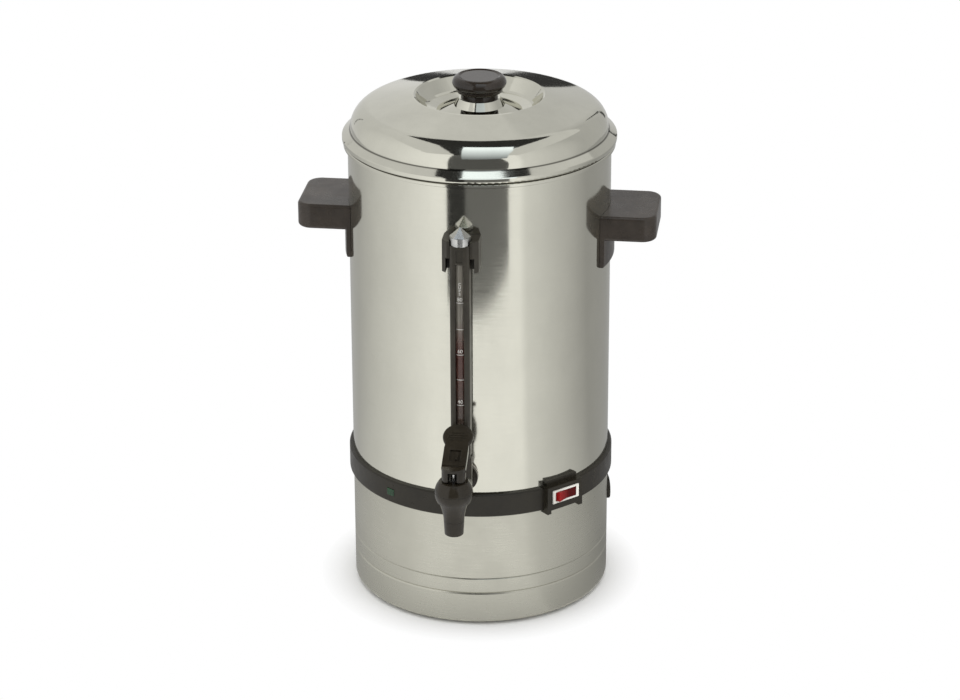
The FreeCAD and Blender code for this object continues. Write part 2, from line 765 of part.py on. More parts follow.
# Knob of dark phenolic with a sunk face, on the dish's raised middle
def make_knob():
    foot = f"({DISH_TOP} - boss_drop + face_gap)"
    top = f"({foot} + knob_height)"
    body = turned("lid_knob", [
        ("knob_screw + nest_gap", foot),
        ("knob_neck", foot),
        ("knob_neck - 0.8", f"{foot} + 4"),
        ("knob_step - 0.9", f"{foot} + 5.8"),
        ("knob_step", f"{foot} + 7"),
        ("knob_step", f"{foot} + 9"),
        ("knob_step - 0.7", f"{foot} + 9.8"),
        ("knob_radius - 2.4", f"{foot} + 10.2", "6", 1),
        ("knob_radius", f"{foot} + 14.6", "7", 1),
        ("knob_face + 2.6", f"{top} - 0.4"),
        ("knob_face + 1.2", top),
        ("knob_face - 0.8", f"{top} - 0.9"),
        ("0", f"{top} - 0.9"),
        ("0", f"{foot} + 13"),
        ("knob_screw + nest_gap", f"{foot} + 13"),
    ])
    return node(body, "lid_knob")


def make_knob_screw():
    under = f"({DISH_TOP} - boss_drop - lid_wall - face_gap)"
    body = turned("knob_screw", [
        ("0", f"{under} - 3"),
        ("knob_screw_head - 1.2", f"{under} - 3"),
        ("knob_screw_head", f"{under} - 1.8"),
        ("knob_screw_head", under),
        ("knob_screw", under),
        ("knob_screw", f"{under} + 13"),
        ("0", f"{under} + 13"),
    ])
    return node(body, "knob_screw")


# Side handle: a grip that is hollow from below, and a mounting plate down the wall
def make_handle(label, angle):
    outer = "(body_radius + handle_reach)"
    body = new_body("handle_body")
    plan = sketch_on(body, "XY_Plane", "handle_bottom")
    draw_outline(plan, [
        ("body_radius - 15", "-handle_half"),
        (f"{outer} - handle_corner", "-handle_half", "handle_corner", 1),
        (outer, "-handle_half + handle_corner"),
        (outer, "handle_half - handle_corner", "handle_corner", 1),
        (f"{outer} - handle_corner", "handle_half"),
        ("body_radius - 15", "handle_half"),
    ])
    grip = pad(body, plan, "handle_thick")
    low, high = value("handle_bottom"), value("handle_bottom + handle_thick")
    inside = value("body_radius - 15")

    def grip_edge(edge):
        box = edge.BoundBox
        flat = box.ZLength < 0.01 and min(abs(box.ZMin - low), abs(box.ZMin - high)) < 0.01
        return flat and box.XMax > inside + 0.01

    soft = round_edges(body, grip, "handle_edge", grip_edge)
    document.recompute()
    hollow = sketch_on(body, "XY_Plane", "handle_bottom")
    draw_outline(hollow, [
        ("body_radius + handle_root", "-handle_half + handle_wall"),
        (f"{outer} - handle_corner", "-handle_half + handle_wall", "handle_corner - handle_wall", 1),
        (f"{outer} - handle_wall", "-handle_half + handle_corner"),
        (f"{outer} - handle_wall", "handle_half - handle_corner", "handle_corner - handle_wall", 1),
        (f"{outer} - handle_corner", "handle_half - handle_wall"),
        ("body_radius + handle_root", "handle_half - handle_wall"),
    ])
    pocket(body, hollow, "handle_thick - handle_top", upward=True)
    plate_outer = "(body_radius + plate_thick)"
    corner_x = f"sqrt({plate_outer} * {plate_outer} - handle_half * handle_half)"
    plate = sketch_on(body, "XY_Plane", "plate_bottom")
    draw_outline(plate, [
        ("body_radius - 15", "-handle_half"),
        (corner_x, "-handle_half", plate_outer, 1),
        (corner_x, "handle_half"),
        ("body_radius - 15", "handle_half"),
    ])
    tail = pad(body, plate, "handle_bottom - plate_bottom + handle_edge")
    foot = value("plate_bottom")
    wall_front = value("body_radius - 14")

    def tail_edge(edge):
        box = edge.BoundBox
        return abs(box.ZMin - foot) < 0.01 and abs(box.ZMax - foot) < 0.01 and box.XMin > wall_front - 3 \
            and box.YLength > 10

    round_edges(body, tail, "plate_edge", tail_edge)
    document.recompute()
    wall = sketch_on(body, "XY_Plane", "plate_bottom - 1")
    draw_circle(wall, "0", "0", "body_radius + nest_gap")
    pocket(body, wall, "handle_bottom + handle_thick - plate_bottom + 2", upward=True)
    screws = [radial_rod(side, "screw_radius + nest_gap", "body_radius - 2", "screw_reach + 3",
                         "handle_screw_height") for side in ("-handle_screw_angle", "handle_screw_angle")]
    return node(turn_about_urn(cut(body, *screws), angle), label)


# Round-headed screws from inside the tank, for the handles and the gauge bracket
def make_wall_screws():
    screws = []
    for middle, spread, height in (
            ("0", "handle_screw_angle", "handle_screw_height"),
            ("180", "handle_screw_angle", "handle_screw_height"),
            ("270", "bracket_screw_angle", "bracket_screw_height")):
        for sign in ("-", "+"):
            angle = f"{middle} {sign} {spread}"
            head = radial_rod(angle, "screw_head", f"{TANK_BORE} - nest_gap * 3 - screw_head_depth",
                              "screw_head_depth", height)
            shank = radial_rod(angle, "screw_radius", f"{TANK_BORE} - 1", "screw_reach + 1 + tank_wall", height)
            screws.append(fuse(head, shank))
    return node(group(*screws), "wall_screws")


# Bracket that holds the top of the gauge
def make_gauge_bracket():
    body = new_body("bracket_body")
    plan = sketch_on(body, "XY_Plane", "bracket_bottom")
    draw_outline(plan, [
        ("-bracket_half", "-body_radius + 6"),
        ("-bracket_half", "-bracket_front + bracket_round"),
        ("-bracket_half + bracket_round", "-bracket_front"),
        ("-shield_half - face_gap", "-bracket_front"),
        ("-shield_half - face_gap", "-bracket_back"),
        ("shield_half + face_gap", "-bracket_back"),
        ("shield_half + face_gap", "-bracket_front"),
        ("bracket_half - bracket_round", "-bracket_front"),
        ("bracket_half", "-bracket_front + bracket_round"),
        ("bracket_half", "-body_radius + 6"),
    ])
    pad(body, plan, "bracket_top - bracket_bottom")
    gaps = [block(f"{side} * (shield_half + cheek_gap / 2) - cheek_gap / 2 - 0.2",
                  f"{side} * (shield_half + cheek_gap / 2) + cheek_gap / 2 + 0.2",
                  "-bracket_front - 1", "-bracket_back", "bracket_bottom - 1", "cheek_shelf") for side in ("-1", "1")]
    cap_seat = rod("z", "cap_radius + 0.6", "20", "0", "-gauge_reach", "glass_top + face_gap")
    wall = rod("z", "body_radius + nest_gap", "60", "0", "0", "bracket_bottom - 10")
    screws = [radial_rod(f"270 {sign} bracket_screw_angle", "screw_radius + nest_gap", "body_radius - 2",
                         "screw_reach + 3", "bracket_screw_height") for sign in ("-", "+")]
    return node(cut(body, wall, cap_seat, *gaps, *screws), "gauge_bracket")


# Channel-shaped shield in front of the glass, with its long window
def make_gauge_shield():
    body = new_body("shield_body")
    plan = sketch_on(body, "XY_Plane", f"{SOCKET_TOP} + face_gap")
    inner = "(shield_half - shield_wall)"
    draw_outline(plan, [
        ("-shield_half", "-shield_back"),
        ("-shield_half", "-shield_front + shield_round", "shield_round", 1),
        ("-shield_half + shield_round", "-shield_front"),
        ("shield_half - shield_round", "-shield_front", "shield_round", 1),
        ("shield_half", "-shield_front + shield_round"),
        ("shield_half", "-shield_back"),
        (inner, "-shield_back"),
        (inner, "-shield_front + shield_round", "shield_round - shield_wall", -1),
        (f"{inner} - shield_round + shield_wall", "-shield_front + shield_wall"),
        (f"-{inner} + shield_round - shield_wall", "-shield_front + shield_wall", "shield_round - shield_wall", -1),
        (f"-{inner}", "-shield_front + shield_round"),
        (f"-{inner}", "-shield_back"),
    ])
    pad(body, plan, f"glass_top - {SOCKET_TOP} - face_gap")
    window = block("-window_half", "window_half", "-shield_front - 1", "-shield_front + shield_wall + 0.5",
                   "window_bottom", "window_top")
    notch = block("-window_half + 1", "window_half - 1", "-shield_front - 1", "-shield_front + shield_wall / 2",
                  "window_top + 2", "window_top + 14")
    return node(cut(body, window, notch), "gauge_shield")


def make_gauge_glass():
    body = turned("gauge_glass", [
        ("glass_bore", f"{SOCKET_FLOOR} + face_gap"),
        ("glass_radius", f"{SOCKET_FLOOR} + face_gap"),
        ("glass_radius", "glass_top"),
        ("glass_bore", "glass_top"),
    ])
    return node(place(body, "0", "-gauge_reach"), "gauge_glass")


def make_gauge_seal():
    body = turned("gauge_seal", [
        ("glass_radius + nest_gap", f"{SOCKET_FLOOR} + face_gap"),
        ("socket_bore - nest_gap", f"{SOCKET_FLOOR} + face_gap"),
        ("socket_bore - nest_gap", f"{SOCKET_TOP} - 0.4"),
        ("glass_radius + nest_gap", f"{SOCKET_TOP} - 0.4"),
    ])
    return node(place(body, "0", "-gauge_reach"), "gauge_seal")


# Metal cap with a round wall and six sloping sides
def make_gauge_cap():
    seat = "(glass_top + face_gap + nest_gap)"
    body = new_body("gauge_cap")
    plan = sketch_on(body, "XY_Plane", seat)
    draw_circle(plan, "0", "0", "cap_radius")
    pad(body, plan, "cap_wall")
    plug = sketch_on(body, "XY_Plane", f"{seat} - cap_spigot")
    draw_circle(plug, "0", "0", "glass_bore - nest_gap")
    pad(body, plug, "cap_spigot + 1")
    wide = sketch_on(body, "XY_Plane", f"{seat} + cap_wall")
    hexagon(wide, "2 * cap_radius * cos(30)")
    narrow = sketch_on(body, "XY_Plane", f"{seat} + cap_wall + cap_peak")
    hexagon(narrow, "cap_tip")
    document.recompute()
    peak = body.newObject("PartDesign::AdditiveLoft", "Peak")
    peak.Profile = wide
    peak.Sections = [narrow]
    peak.Ruled = True
    return node(place(body, "0", "-gauge_reach"), "gauge_cap")


# Tap shank: thread through the wall, collar, and the socket for the glass
def make_tap_shank():
    collar = "(body_radius + washer_depth + face_gap)"
    thread = rod("-y", "shank_thread", "body_radius - shank_back + 5", "0", "-shank_back", "tap_height")
    flange = rod("-y", "collar_radius", "collar_depth", "0", f"-{collar}", "tap_height")
    step = rod("-y", "collar_step", "collar_depth + 2", "0", f"-{collar}", "tap_height")
    pipe = rod("-y", "shank_radius", f"gauge_reach + socket_radius - {collar}", "0", f"-{collar}", "tap_height")
    nose = rod("-y", "shank_nose", f"shank_front - {collar}", "0", f"-{collar}", "tap_height")
    socket = rod("z", "socket_radius", "socket_rise", "0", "-gauge_reach", "tap_height")
    bore = rod("-y", "shank_bore", "shank_front - shank_back + 2", "0", "-shank_back + 1", "tap_height")
    rise = rod("z", "shank_bore", "socket_rise", "0", "-gauge_reach", "tap_height")
    seat = rod("z", "socket_bore", "socket_depth + 1", "0", "-gauge_reach", SOCKET_FLOOR)
    return node(cut(fuse(thread, flange, step, pipe, nose, socket), bore, rise, seat), "tap_shank")


def make_shank_washers():
    outer_face = "(body_radius + washer_depth)"
    outer = cut(rod("-y", "collar_radius", "washer_depth * 3", "0", f"-{outer_face} + washer_depth * 3",
                    "tap_height"),
                rod("z", "body_radius + nest_gap", "60", "0", "0", "tap_height - 30"),
                rod("-y", "shank_thread + nest_gap", "40", "0", "-shank_back", "tap_height"))
    inner_face = f"({TANK_BORE} - washer_depth * 2)"
    inner = cut(common(rod("-y", "collar_radius - 0.8", "washer_depth * 3", "0", f"-{inner_face}", "tap_height"),
                       rod("z", f"{TANK_BORE} - nest_gap", "60", "0", "0", "tap_height - 30")),
                rod("-y", "shank_thread + nest_gap", "40", "0", "-shank_back", "tap_height"))
    return node(group(outer, inner), "shank_washers")


def make_shank_nut():
    body = new_body("shank_nut")
    sketch = sketch_on(body, "XZ_Plane", f"{TANK_BORE} - washer_depth * 2 - face_gap - nut_depth")
    hexagon(sketch, "nut_width", "0", "tap_height")
    draw_circle(sketch, "0", "tap_height", "shank_thread + nest_gap")
    pad(body, sketch, "nut_depth")
    return node(body, "shank_nut")


def ball_width(height):
    """Radius of the tap's ball at a height."""
    return f"sqrt(ball_radius * ball_radius - ({height} - {BALL}) * ({height} - {BALL}))"


# Tap body: flare and lower half of the ball, with the valve chamber, its seat and the shank's boss
def make_tap_body():
    shoulder = f"({BALL} - shoulder_drop)"
    body = turned("tap_flare", [
        ("spout_bore", NOZZLE_TOP),
        ("spout_neck", NOZZLE_TOP, "flare_curve", -1),
        (f"{ball_width(shoulder)} - shoulder_inset", shoulder),
        (ball_width(shoulder), f"{shoulder} + face_gap", "ball_radius", 1),
        (ball_width(TAP_SPLIT), TAP_SPLIT),
        ("chamber_radius", TAP_SPLIT),
        ("chamber_radius", SEAT),
        ("seat_bore", SEAT),
        ("seat_bore", f"{SEAT} - 3"),
        ("spout_bore", f"{SEAT} - 5"),
    ])
    place(body, "0", "-tap_reach")
    boss = rod("-y", "boss_pipe", "tap_reach - boss_back - chamber_radius / 2", "0", "-boss_back", "tap_height")
    chamber = rod("z", "chamber_radius", f"{TAP_SPLIT} - {SEAT}", "0", "-tap_reach", SEAT)
    socket = rod("-y", "shank_nose + nest_gap", "shank_front + face_gap - boss_back + 1", "0", "-boss_back + 1",
                 "tap_height")
    inlet = rod("-y", "shank_bore - 0.1", "tap_reach - boss_back", "0", "-boss_back", "tap_height")
    return node(cut(fuse(body, boss), chamber, socket, inlet), "tap_body")


def make_tap_spout():
    low = "(tap_height - spout_drop)"
    body = turned("tap_spout", [
        ("spout_bore", low),
        ("spout_tip - 0.6", low),
        ("spout_tip", f"{low} + 0.6"),
        ("spout_neck", f"{NOZZLE_TOP} - face_gap"),
        ("spout_bore", f"{NOZZLE_TOP} - face_gap"),
    ])
    return node(place(body, "0", "-tap_reach"), "tap_spout")


def make_tap_bonnet():
    joint = f"({TAP_SPLIT} + face_gap)"
    body = turned("tap_bonnet", [
        ("stem_radius + run_gap", f"{joint} - bonnet_spigot"),
        ("chamber_radius - nest_gap", f"{joint} - bonnet_spigot"),
        ("chamber_radius - nest_gap", joint),
        (ball_width(joint), joint, "ball_radius", 1),
        (ball_width(BONNET_TOP), BONNET_TOP),
        ("stem_radius + run_gap", BONNET_TOP),
    ])
    return node(place(body, "0", "-tap_reach"), "tap_bonnet")


# Stem with a foot in the seal and an eye for the lever's pin
def make_tap_stem():
    foot = f"({SEAT} + move_gap + cup_floor + nest_gap)"
    shaft = turned("stem_shaft", [
        ("0", foot),
        ("stem_foot", foot),
        ("stem_foot", f"{foot} + 1.6"),
        ("stem_radius", f"{foot} + 1.6"),
        ("stem_radius", PIN),
        ("0", PIN),
    ])
    place(shaft, "0", "-tap_reach")
    eye = rod("x", "eye_radius", "2 * eye_half", "-eye_half", "-tap_reach", PIN)
    hole = rod("x", "pin_radius + nest_gap", "4 * eye_half", "-2 * eye_half", "-tap_reach", PIN)
    return node(cut(fuse(shaft, eye), hole), "tap_stem")


def make_seat_cup():
    low = f"({SEAT} + move_gap)"
    body = turned("seat_cup", [
        ("0", low),
        ("cup_radius - 1.6", low),
        ("cup_radius - 0.6", f"{low} + 1.6"),
        ("cup_radius", f"{low} + cup_depth"),
        ("cup_radius - 1.4", f"{low} + cup_depth"),
        ("cup_radius - 2.2", f"{low} + cup_floor"),
        ("0", f"{low} + cup_floor"),
    ])
    return node(place(body, "0", "-tap_reach"), "seat_cup")


def make_lever_pin():
    return node(rod("x", "pin_radius", "2 * lever_half - 2", "-lever_half + 1", "-tap_reach", PIN), "lever_pin")


# Half lengths of the raised lines on the lever's pad, as shares of its radius
LEVER_LINES = (0.45, 0.6, 0.6, 0.45)


# Lever: a round foot whose underside is a cam about the pin, a leaning neck and a round thumb pad
def make_tap_lever():
    low_point = "(pin_rise - move_gap)"
    half_turn = "(pull_angle / 2)"
    offset = f"(stem_lift / (2 * sin({half_turn})))"
    cam_radius = f"({low_point} + stem_lift / 2)"
    cam_y = f"(-tap_reach - {offset} * cos({half_turn}))"
    cam_z = f"({PIN} + {offset} * sin({half_turn}))"
    foot = common(
        rod("z", "lever_half", "pin_rise + foot_rise + 5", "0", "-tap_reach", f"{BONNET_TOP} - 5"),
        rod("x", cam_radius, "2 * lever_half", "-lever_half", cam_y, cam_z))
    neck = new_body("lever_neck")
    side = sketch_on(neck, "XY_Plane", "lever_face - lever_depth")
    draw_outline(side, [
        ("-lever_half", "-1"),
        ("lever_half", "-1"),
        ("lever_half", "pad_length - pad_radius"),
        ("lever_half - 1.5", "pad_length"),
        ("-lever_half + 1.5", "pad_length"),
        ("-lever_half", "pad_length - pad_radius"),
    ])
    pad(neck, side, "lever_depth")
    round_pad = sketch_on(neck, "XY_Plane", "lever_face - pad_depth")
    draw_circle(round_pad, "0", "pad_length", "pad_radius")
    disc = pad(neck, round_pad, "pad_depth")
    top = value("lever_face")

    def pad_rim(edge):
        return edge.BoundBox.ZLength < 0.01 and edge.BoundBox.YMax > value("pad_length + pad_radius") - 0.1

    round_edges(neck, disc, "pad_depth / 3", pad_rim)
    document.recompute()
    window = sketch_on(neck, "XY_Plane", "lever_face")
    draw_outline(window, [
        ("-window_wide", "window_low"),
        ("window_wide", "window_low"),
        ("window_wide", "window_high"),
        ("-window_wide", "window_high"),
    ])
    pocket(neck, window, "window_deep")
    mark = sketch_on(neck, "XY_Plane", "lever_face - window_deep - 0.4")
    draw_outline(mark, [
        ("window_wide - 2 * mark_width", "window_low + mark_width"),
        ("window_wide - mark_width", "window_low + mark_width"),
        ("window_wide - mark_width", "window_high - mark_width"),
        ("window_wide - 2 * mark_width", "window_high - mark_width"),
    ])
    pad(neck, mark, "window_deep")
    brow = sketch_on(neck, "XY_Plane", "lever_face - 1")
    draw_outline(brow, [
        ("-lever_half + 0.4", "brow_low"),
        ("lever_half - 0.4", "brow_low"),
        ("lever_half - 0.4", "brow_high"),
        ("-lever_half + 0.4", "brow_high"),
    ])
    pad(neck, brow, "1 + brow_proud")
    lines = sketch_on(neck, "XY_Plane", "lever_face - 1")
    for row, half in enumerate(LEVER_LINES):
        low = f"(pad_length - 2 * line_pitch + {row} * line_pitch)"
        draw_outline(lines, [
            (f"-{half} * pad_radius", low),
            (f"{half} * pad_radius", low),
            (f"{half} * pad_radius", f"{low} + line_pitch / 4"),
            (f"-{half} * pad_radius", f"{low} + line_pitch / 4"),
        ])
    pad(neck, lines, "1 + line_depth")
    neck.Placement = Placement(Vector(0, 0, 0), Rotation(Vector(1, 0, 0), value("lever_lean")))
    bind(neck, "Placement.Rotation.Angle", "lever_lean")
    place(neck, "0", "-tap_reach", PIN)
    slot = block("-eye_half - move_gap", "eye_half + move_gap", "-tap_reach - 2 * lever_half",
                 "-tap_reach + eye_radius + move_gap", f"{BONNET_TOP} - 6", f"{PIN} + slot_rise")
    cavity = rod("x", "eye_radius + move_gap", "2 * (eye_half + move_gap)", "-eye_half - move_gap", "-tap_reach",
                 PIN)
    hole = rod("x", "pin_radius + run_gap", "3 * lever_half", "-1.5 * lever_half", "-tap_reach", PIN)
    return node(cut(fuse(foot, neck), slot, cavity, hole), "tap_lever")


# Switch: black housing over the band, white frame with its body, red rocker
def make_switch_housing():
    front = block("-housing_half", "housing_half", "-housing_face", "-body_radius + 8", "housing_bottom",
                  "housing_top")
    tab = block("-tab_half", "tab_half", "-body_radius - tab_depth", "-body_radius + 8", "housing_bottom", "tab_top")
    toes = [block(low, high, "-housing_face", "-body_radius + 12", "housing_bottom - toe_drop", "housing_bottom + 1")
            for low, high in (("-housing_half", "-housing_half + toe_width"),
                              ("housing_half - toe_width", "housing_half"))]
    wall = rod("z", "body_radius + nest_gap", "60", "0", "0", "housing_bottom - 15")
    band = rod("z", f"{BAND_RADIUS} + nest_gap", "band_height + 2 * nest_gap", "0", "0", "band_bottom - nest_gap")
    opening = block("-switch_half - nest_gap", "switch_half + nest_gap", "-housing_face - 1", "-switch_back",
                    "switch_height - switch_tall - nest_gap", "switch_height + switch_tall + nest_gap")
    piece = cut(fuse(front, tab, *toes), wall, band, opening)
    return node(turn_about_urn(piece, "switch_angle"), "switch_housing")


def make_switch_frame():
    face = "(housing_face + face_gap + bezel_depth)"
    bezel = block("-bezel_half", "bezel_half", f"-{face}", "-housing_face - face_gap",
                  "switch_height - bezel_tall", "switch_height + bezel_tall")
    box = block("-switch_half", "switch_half", f"-{face} + 0.5", "-switch_back", "switch_height - switch_tall",
                "switch_height + switch_tall")
    tongues = [block(f"{middle} - 0.4", f"{middle} + 0.4", "-switch_back - 1", "-switch_back + terminal_reach",
                     "switch_height - terminal_half", "switch_height + terminal_half") for middle in ("-7", "7")]
    cavity = block("-rocker_half - 1.3", "rocker_half + 1.3", f"-{face} - 1", f"-{face} + 2 * rocker_depth",
                   "switch_height - rocker_tall - move_gap", "switch_height + rocker_tall + move_gap")
    pin = rod("z", "rocker_pin + run_gap", "2 * (rocker_tall + 1)", "0", f"-{face} + rocker_depth",
              "switch_height - rocker_tall - 1")
    piece = cut(fuse(bezel, box, *tongues), cavity, pin)
    return node(turn_about_urn(piece, "switch_angle"), "switch_frame")


def make_switch_rocker():
    pivot = "(housing_face + face_gap + bezel_depth - rocker_depth)"
    body = new_body("switch_rocker")
    plan = sketch_on(body, "XY_Plane", "-rocker_tall")
    middle = "(-(rocker_depth - move_gap) / cos(rocker_tilt))"
    draw_outline(plan, [
        ("0", middle),
        ("rocker_half", f"{middle} - rocker_half * tan(rocker_tilt)"),
        ("rocker_half + 0.2", "-1"),
        ("0", "3"),
        ("-rocker_half - 0.2", "-1"),
        ("-rocker_half", f"{middle} - rocker_half * tan(rocker_tilt)"),
    ])
    pad(body, plan, "2 * rocker_tall")
    pins = sketch_on(body, "XY_Plane", "-rocker_tall - 0.9")
    draw_circle(pins, "0", "0", "rocker_pin")
    pad(body, pins, "2 * (rocker_tall + 0.9)")
    body.Placement = Placement(Vector(0, 0, 0), Rotation(Vector(0, 0, 1), value("switch_angle + rocker_tilt")))
    bind(body, "Placement.Rotation.Angle", "switch_angle + rocker_tilt")
    place(body, f"{pivot} * sin(switch_angle)", f"-{pivot} * cos(switch_angle)", "switch_height")
    return node(body, "switch_rocker")


def make_lamp():
    face = f"({BAND_RADIUS} + lamp_proud)"
    body = new_body("indicator_lamp")
    plan = sketch_on(body, "XY_Plane", "lamp_height - lamp_tall")
    draw_outline(plan, [
        ("-lamp_half", "-lamp_back"),
        ("-lamp_half", f"-{face} + 0.6", "0.6", 1),
        ("-lamp_half + 0.6", f"-{face}"),
        ("lamp_half - 0.6", f"-{face}", "0.6", 1),
        ("lamp_half", f"-{face} + 0.6"),
        ("lamp_half", "-lamp_back"),
    ])
    pad(body, plan, "2 * lamp_tall")
    return node(turn_about_urn(body, "-lamp_angle"), "indicator_lamp")


# Mains inlet in the skirt, with its two pins
def make_inlet():
    flange = block("-inlet_half + inlet_tall", "inlet_half - inlet_tall", "-inlet_face", "-body_radius + 6",
                   "inlet_height - inlet_tall", "inlet_height + inlet_tall")
    ends = [rod("-y", "inlet_tall", "inlet_face - body_radius + 6", f"{side} * (inlet_half - inlet_tall)",
                "-body_radius + 6", "inlet_height") for side in ("-1", "1")]
    wall = rod("z", "body_radius + nest_gap", "60", "0", "0", "inlet_height - 30")
    rim = cut(fuse(flange, *ends), wall)
    box = block("-inlet_body_half", "inlet_body_half", "-inlet_face + 0.5", "-inlet_back",
                "inlet_height - inlet_body_tall", "inlet_height + inlet_body_tall")
    recess = block("-inlet_recess_half", "inlet_recess_half", "-inlet_face - 1",
                   "-inlet_face + inlet_recess_depth", "inlet_height - inlet_recess_tall",
                   "inlet_height + inlet_recess_tall")
    holes = [rod("-y", "inlet_pin + nest_gap", "40", f"{side} * inlet_pin_spread", "-inlet_back + 5",
                 "inlet_height") for side in ("-1", "1")]
    return node(turn_about_urn(cut(fuse(rim, box), recess, *holes), "inlet_angle"), "power_inlet")


def make_inlet_pins():
    pins = [rod("-y", "inlet_pin",
                "inlet_face - inlet_recess_depth + inlet_pin_reach - inlet_back + 6",
                f"{side} * inlet_pin_spread", "-inlet_back + 6", "inlet_height") for side in ("-1", "1")]
    return node(turn_about_urn(group(*pins), "inlet_angle"), "inlet_pins")


# Percolator insert: pump tube with its bell, basket and spreader
def make_pump_tube():
    rest = "(floor_height - well_depth + move_gap)"
    bore = "(pump_radius - pump_wall)"
    top = "(collar_height + basket_tall + pump_rise)"
    body = turned("pump_tube", [
        ("bell_radius - pump_wall", rest),
        ("bell_radius", rest),
        ("bell_radius", f"{rest} + 2"),
        ("pump_radius + 2", f"{rest} + bell_rise"),
        ("pump_radius", f"{rest} + bell_rise + 3"),
        ("pump_radius", "collar_height"),
        ("collar_reach", "collar_height"),
        ("collar_reach", "collar_height + collar_thick"),
        ("pump_radius", "collar_height + collar_thick"),
        ("pump_radius", top),
        (bore, top),
        (bore, f"{rest} + bell_rise + 1"),
        ("bell_radius - pump_wall", f"{rest} + 1.4"),
    ])
    return node(body, "pump_tube")


def sieve(body, lift, depth):
    """Rings of holes round the middle of a plate."""
    for ring in range(int(value("sieve_rings"))):
        holes = sketch_on(body, "XY_Plane", lift)
        draw_circle(holes, f"sieve_ring * {ring + 1}", "0", "sieve_hole")
        drilled = pocket(body, holes, depth)
        repeat_round(body, drilled, "sieve_count")


def make_basket():
    low = "(collar_height + collar_thick + face_gap)"
    top = f"({low} + basket_tall)"
    body = turned("coffee_basket", [
        ("pump_radius + nest_gap * 6", low),
        ("basket_radius", low),
        ("basket_radius", f"{top} - basket_wall"),
        ("basket_radius + basket_lip", f"{top} - basket_wall"),
        ("basket_radius + basket_lip", top),
        ("basket_radius - basket_wall", top),
        ("basket_radius - basket_wall", f"{low} + basket_wall"),
        ("sleeve_radius", f"{low} + basket_wall"),
        ("sleeve_radius", f"{low} + sleeve_tall"),
        ("pump_radius + nest_gap * 6", f"{low} + sleeve_tall"),
    ])
    sieve(body, f"{low} + 2 * basket_wall", "3 * basket_wall")
    return node(body, "coffee_basket")


def make_spreader():
    low = "(collar_height + collar_thick + basket_tall + 2 * face_gap)"
    bore = "(pump_radius + nest_gap * 6)"
    body = turned("basket_spreader", [
        (bore, f"{low} - 2"),
        ("basket_radius - basket_wall - 6", f"{low} - 2"),
        ("basket_radius - basket_wall - 4", low),
        ("basket_radius + basket_lip - 0.5", low),
        ("basket_radius + basket_lip - 0.5", f"{low} + spreader_rise"),
        ("basket_radius + basket_lip - 1.5", f"{low} + spreader_rise"),
        ("basket_radius + basket_lip - 1.5", f"{low} + 1"),
        ("basket_radius - basket_wall - 4.5", f"{low} + 1"),
        ("basket_radius - basket_wall - 6.5", f"{low} - 1"),
        (f"{bore} + 1", f"{low} - 1"),
        (f"{bore} + 1", f"{low} + 4"),
        (bore, f"{low} + 4"),
    ])
    sieve(body, f"{low} + 1", "5")
    return node(body, "basket_spreader")


# Heating elements under the floor, with their cold ends
def make_element(label, ring, tube, under):
    """A heating ring with an eight-sided section and two cold ends."""
    middle = f"({under} - {tube} - face_gap)"
    section = [(f"{ring} + {tube} * cos({45 * corner + 22.5}) / cos(22.5)",
                f"{middle} + {tube} * sin({45 * corner + 22.5}) / cos(22.5)") for corner in range(8)]
    body = turned("element_ring", section)
    ends = [rod("z", f"{tube} - 0.5", "pin_drop", f"{side} * {tube} * 2.2",
                f"sqrt({ring} * {ring} - 4.84 * {tube} * {tube})", f"{middle} - pin_drop") for side in ("-1", "1")]
    return node(fuse(body, *ends), label)


CLAMP_TOP = "(floor_height - well_depth - tank_wall - 2 * brew_tube - 2 * face_gap)"


def make_element_clamp():
    under = CLAMP_TOP
    body = turned("clamp_disc", [
        ("rod_radius + face_gap", f"{under} - clamp_thick"),
        ("brew_ring - brew_tube - 3", f"{under} - clamp_thick"),
        ("brew_ring - brew_tube - 3", under),
        ("rod_radius + face_gap", under),
    ])
    arms = [block("-clamp_radius", "-brew_ring + brew_tube + 4", "-7", "7", f"{under} - clamp_thick", under),
            block("brew_ring - brew_tube - 4", "clamp_radius", "-7", "7", f"{under} - clamp_thick", under)]
    return node(fuse(body, *arms), "element_clamp")


def make_tie_rod():
    top = "(floor_height - well_depth - tank_wall - face_gap)"
    low = "(foot_drop + pan_recess - rod_nut_depth - 0.6)"
    return node(rod("z", "rod_radius", f"{top} - {low}", "0", "0", low), "tie_rod")


def make_tie_nuts():
    nuts = []
    for low in ("(foot_drop + pan_recess - rod_nut_depth - face_gap)",
                f"({CLAMP_TOP} - clamp_thick - rod_nut_depth - face_gap)"):
        body = new_body("tie_nut")
        sketch = sketch_on(body, "XY_Plane", low)
        hexagon(sketch, "rod_nut")
        draw_circle(sketch, "0", "0", "rod_radius + nest_gap")
        pad(body, sketch, "rod_nut_depth")
        nuts.append(body)
    return node(group(*nuts), "tie_nuts")


def make_button(label, radius, depth, place_y):
    """A disc-shaped control that is pressed against the floor."""
    top = "(floor_height - tank_wall - face_gap)"
    body = turned("control_body", [
        ("0", f"{top} - {depth}"),
        (f"{radius} - 0.8", f"{top} - {depth}"),
        (radius, f"{top} - {depth} + 0.8"),
        (radius, f"{top} - 1.5"),
        (f"{radius} + stat_edge", f"{top} - 1.5"),
        (f"{radius} + stat_edge", top),
        ("0", top),
    ])
    tongues = [block(f"{side} - 0.4", f"{side} + 0.4", f"{place_y} - 2.5", f"{place_y} + 2.5",
                     f"{top} - {depth} - 6", f"{top} - {depth} + 1") for side in ("-3", "3")]
    place(body, "0", place_y)
    return node(fuse(body, *tongues), label)


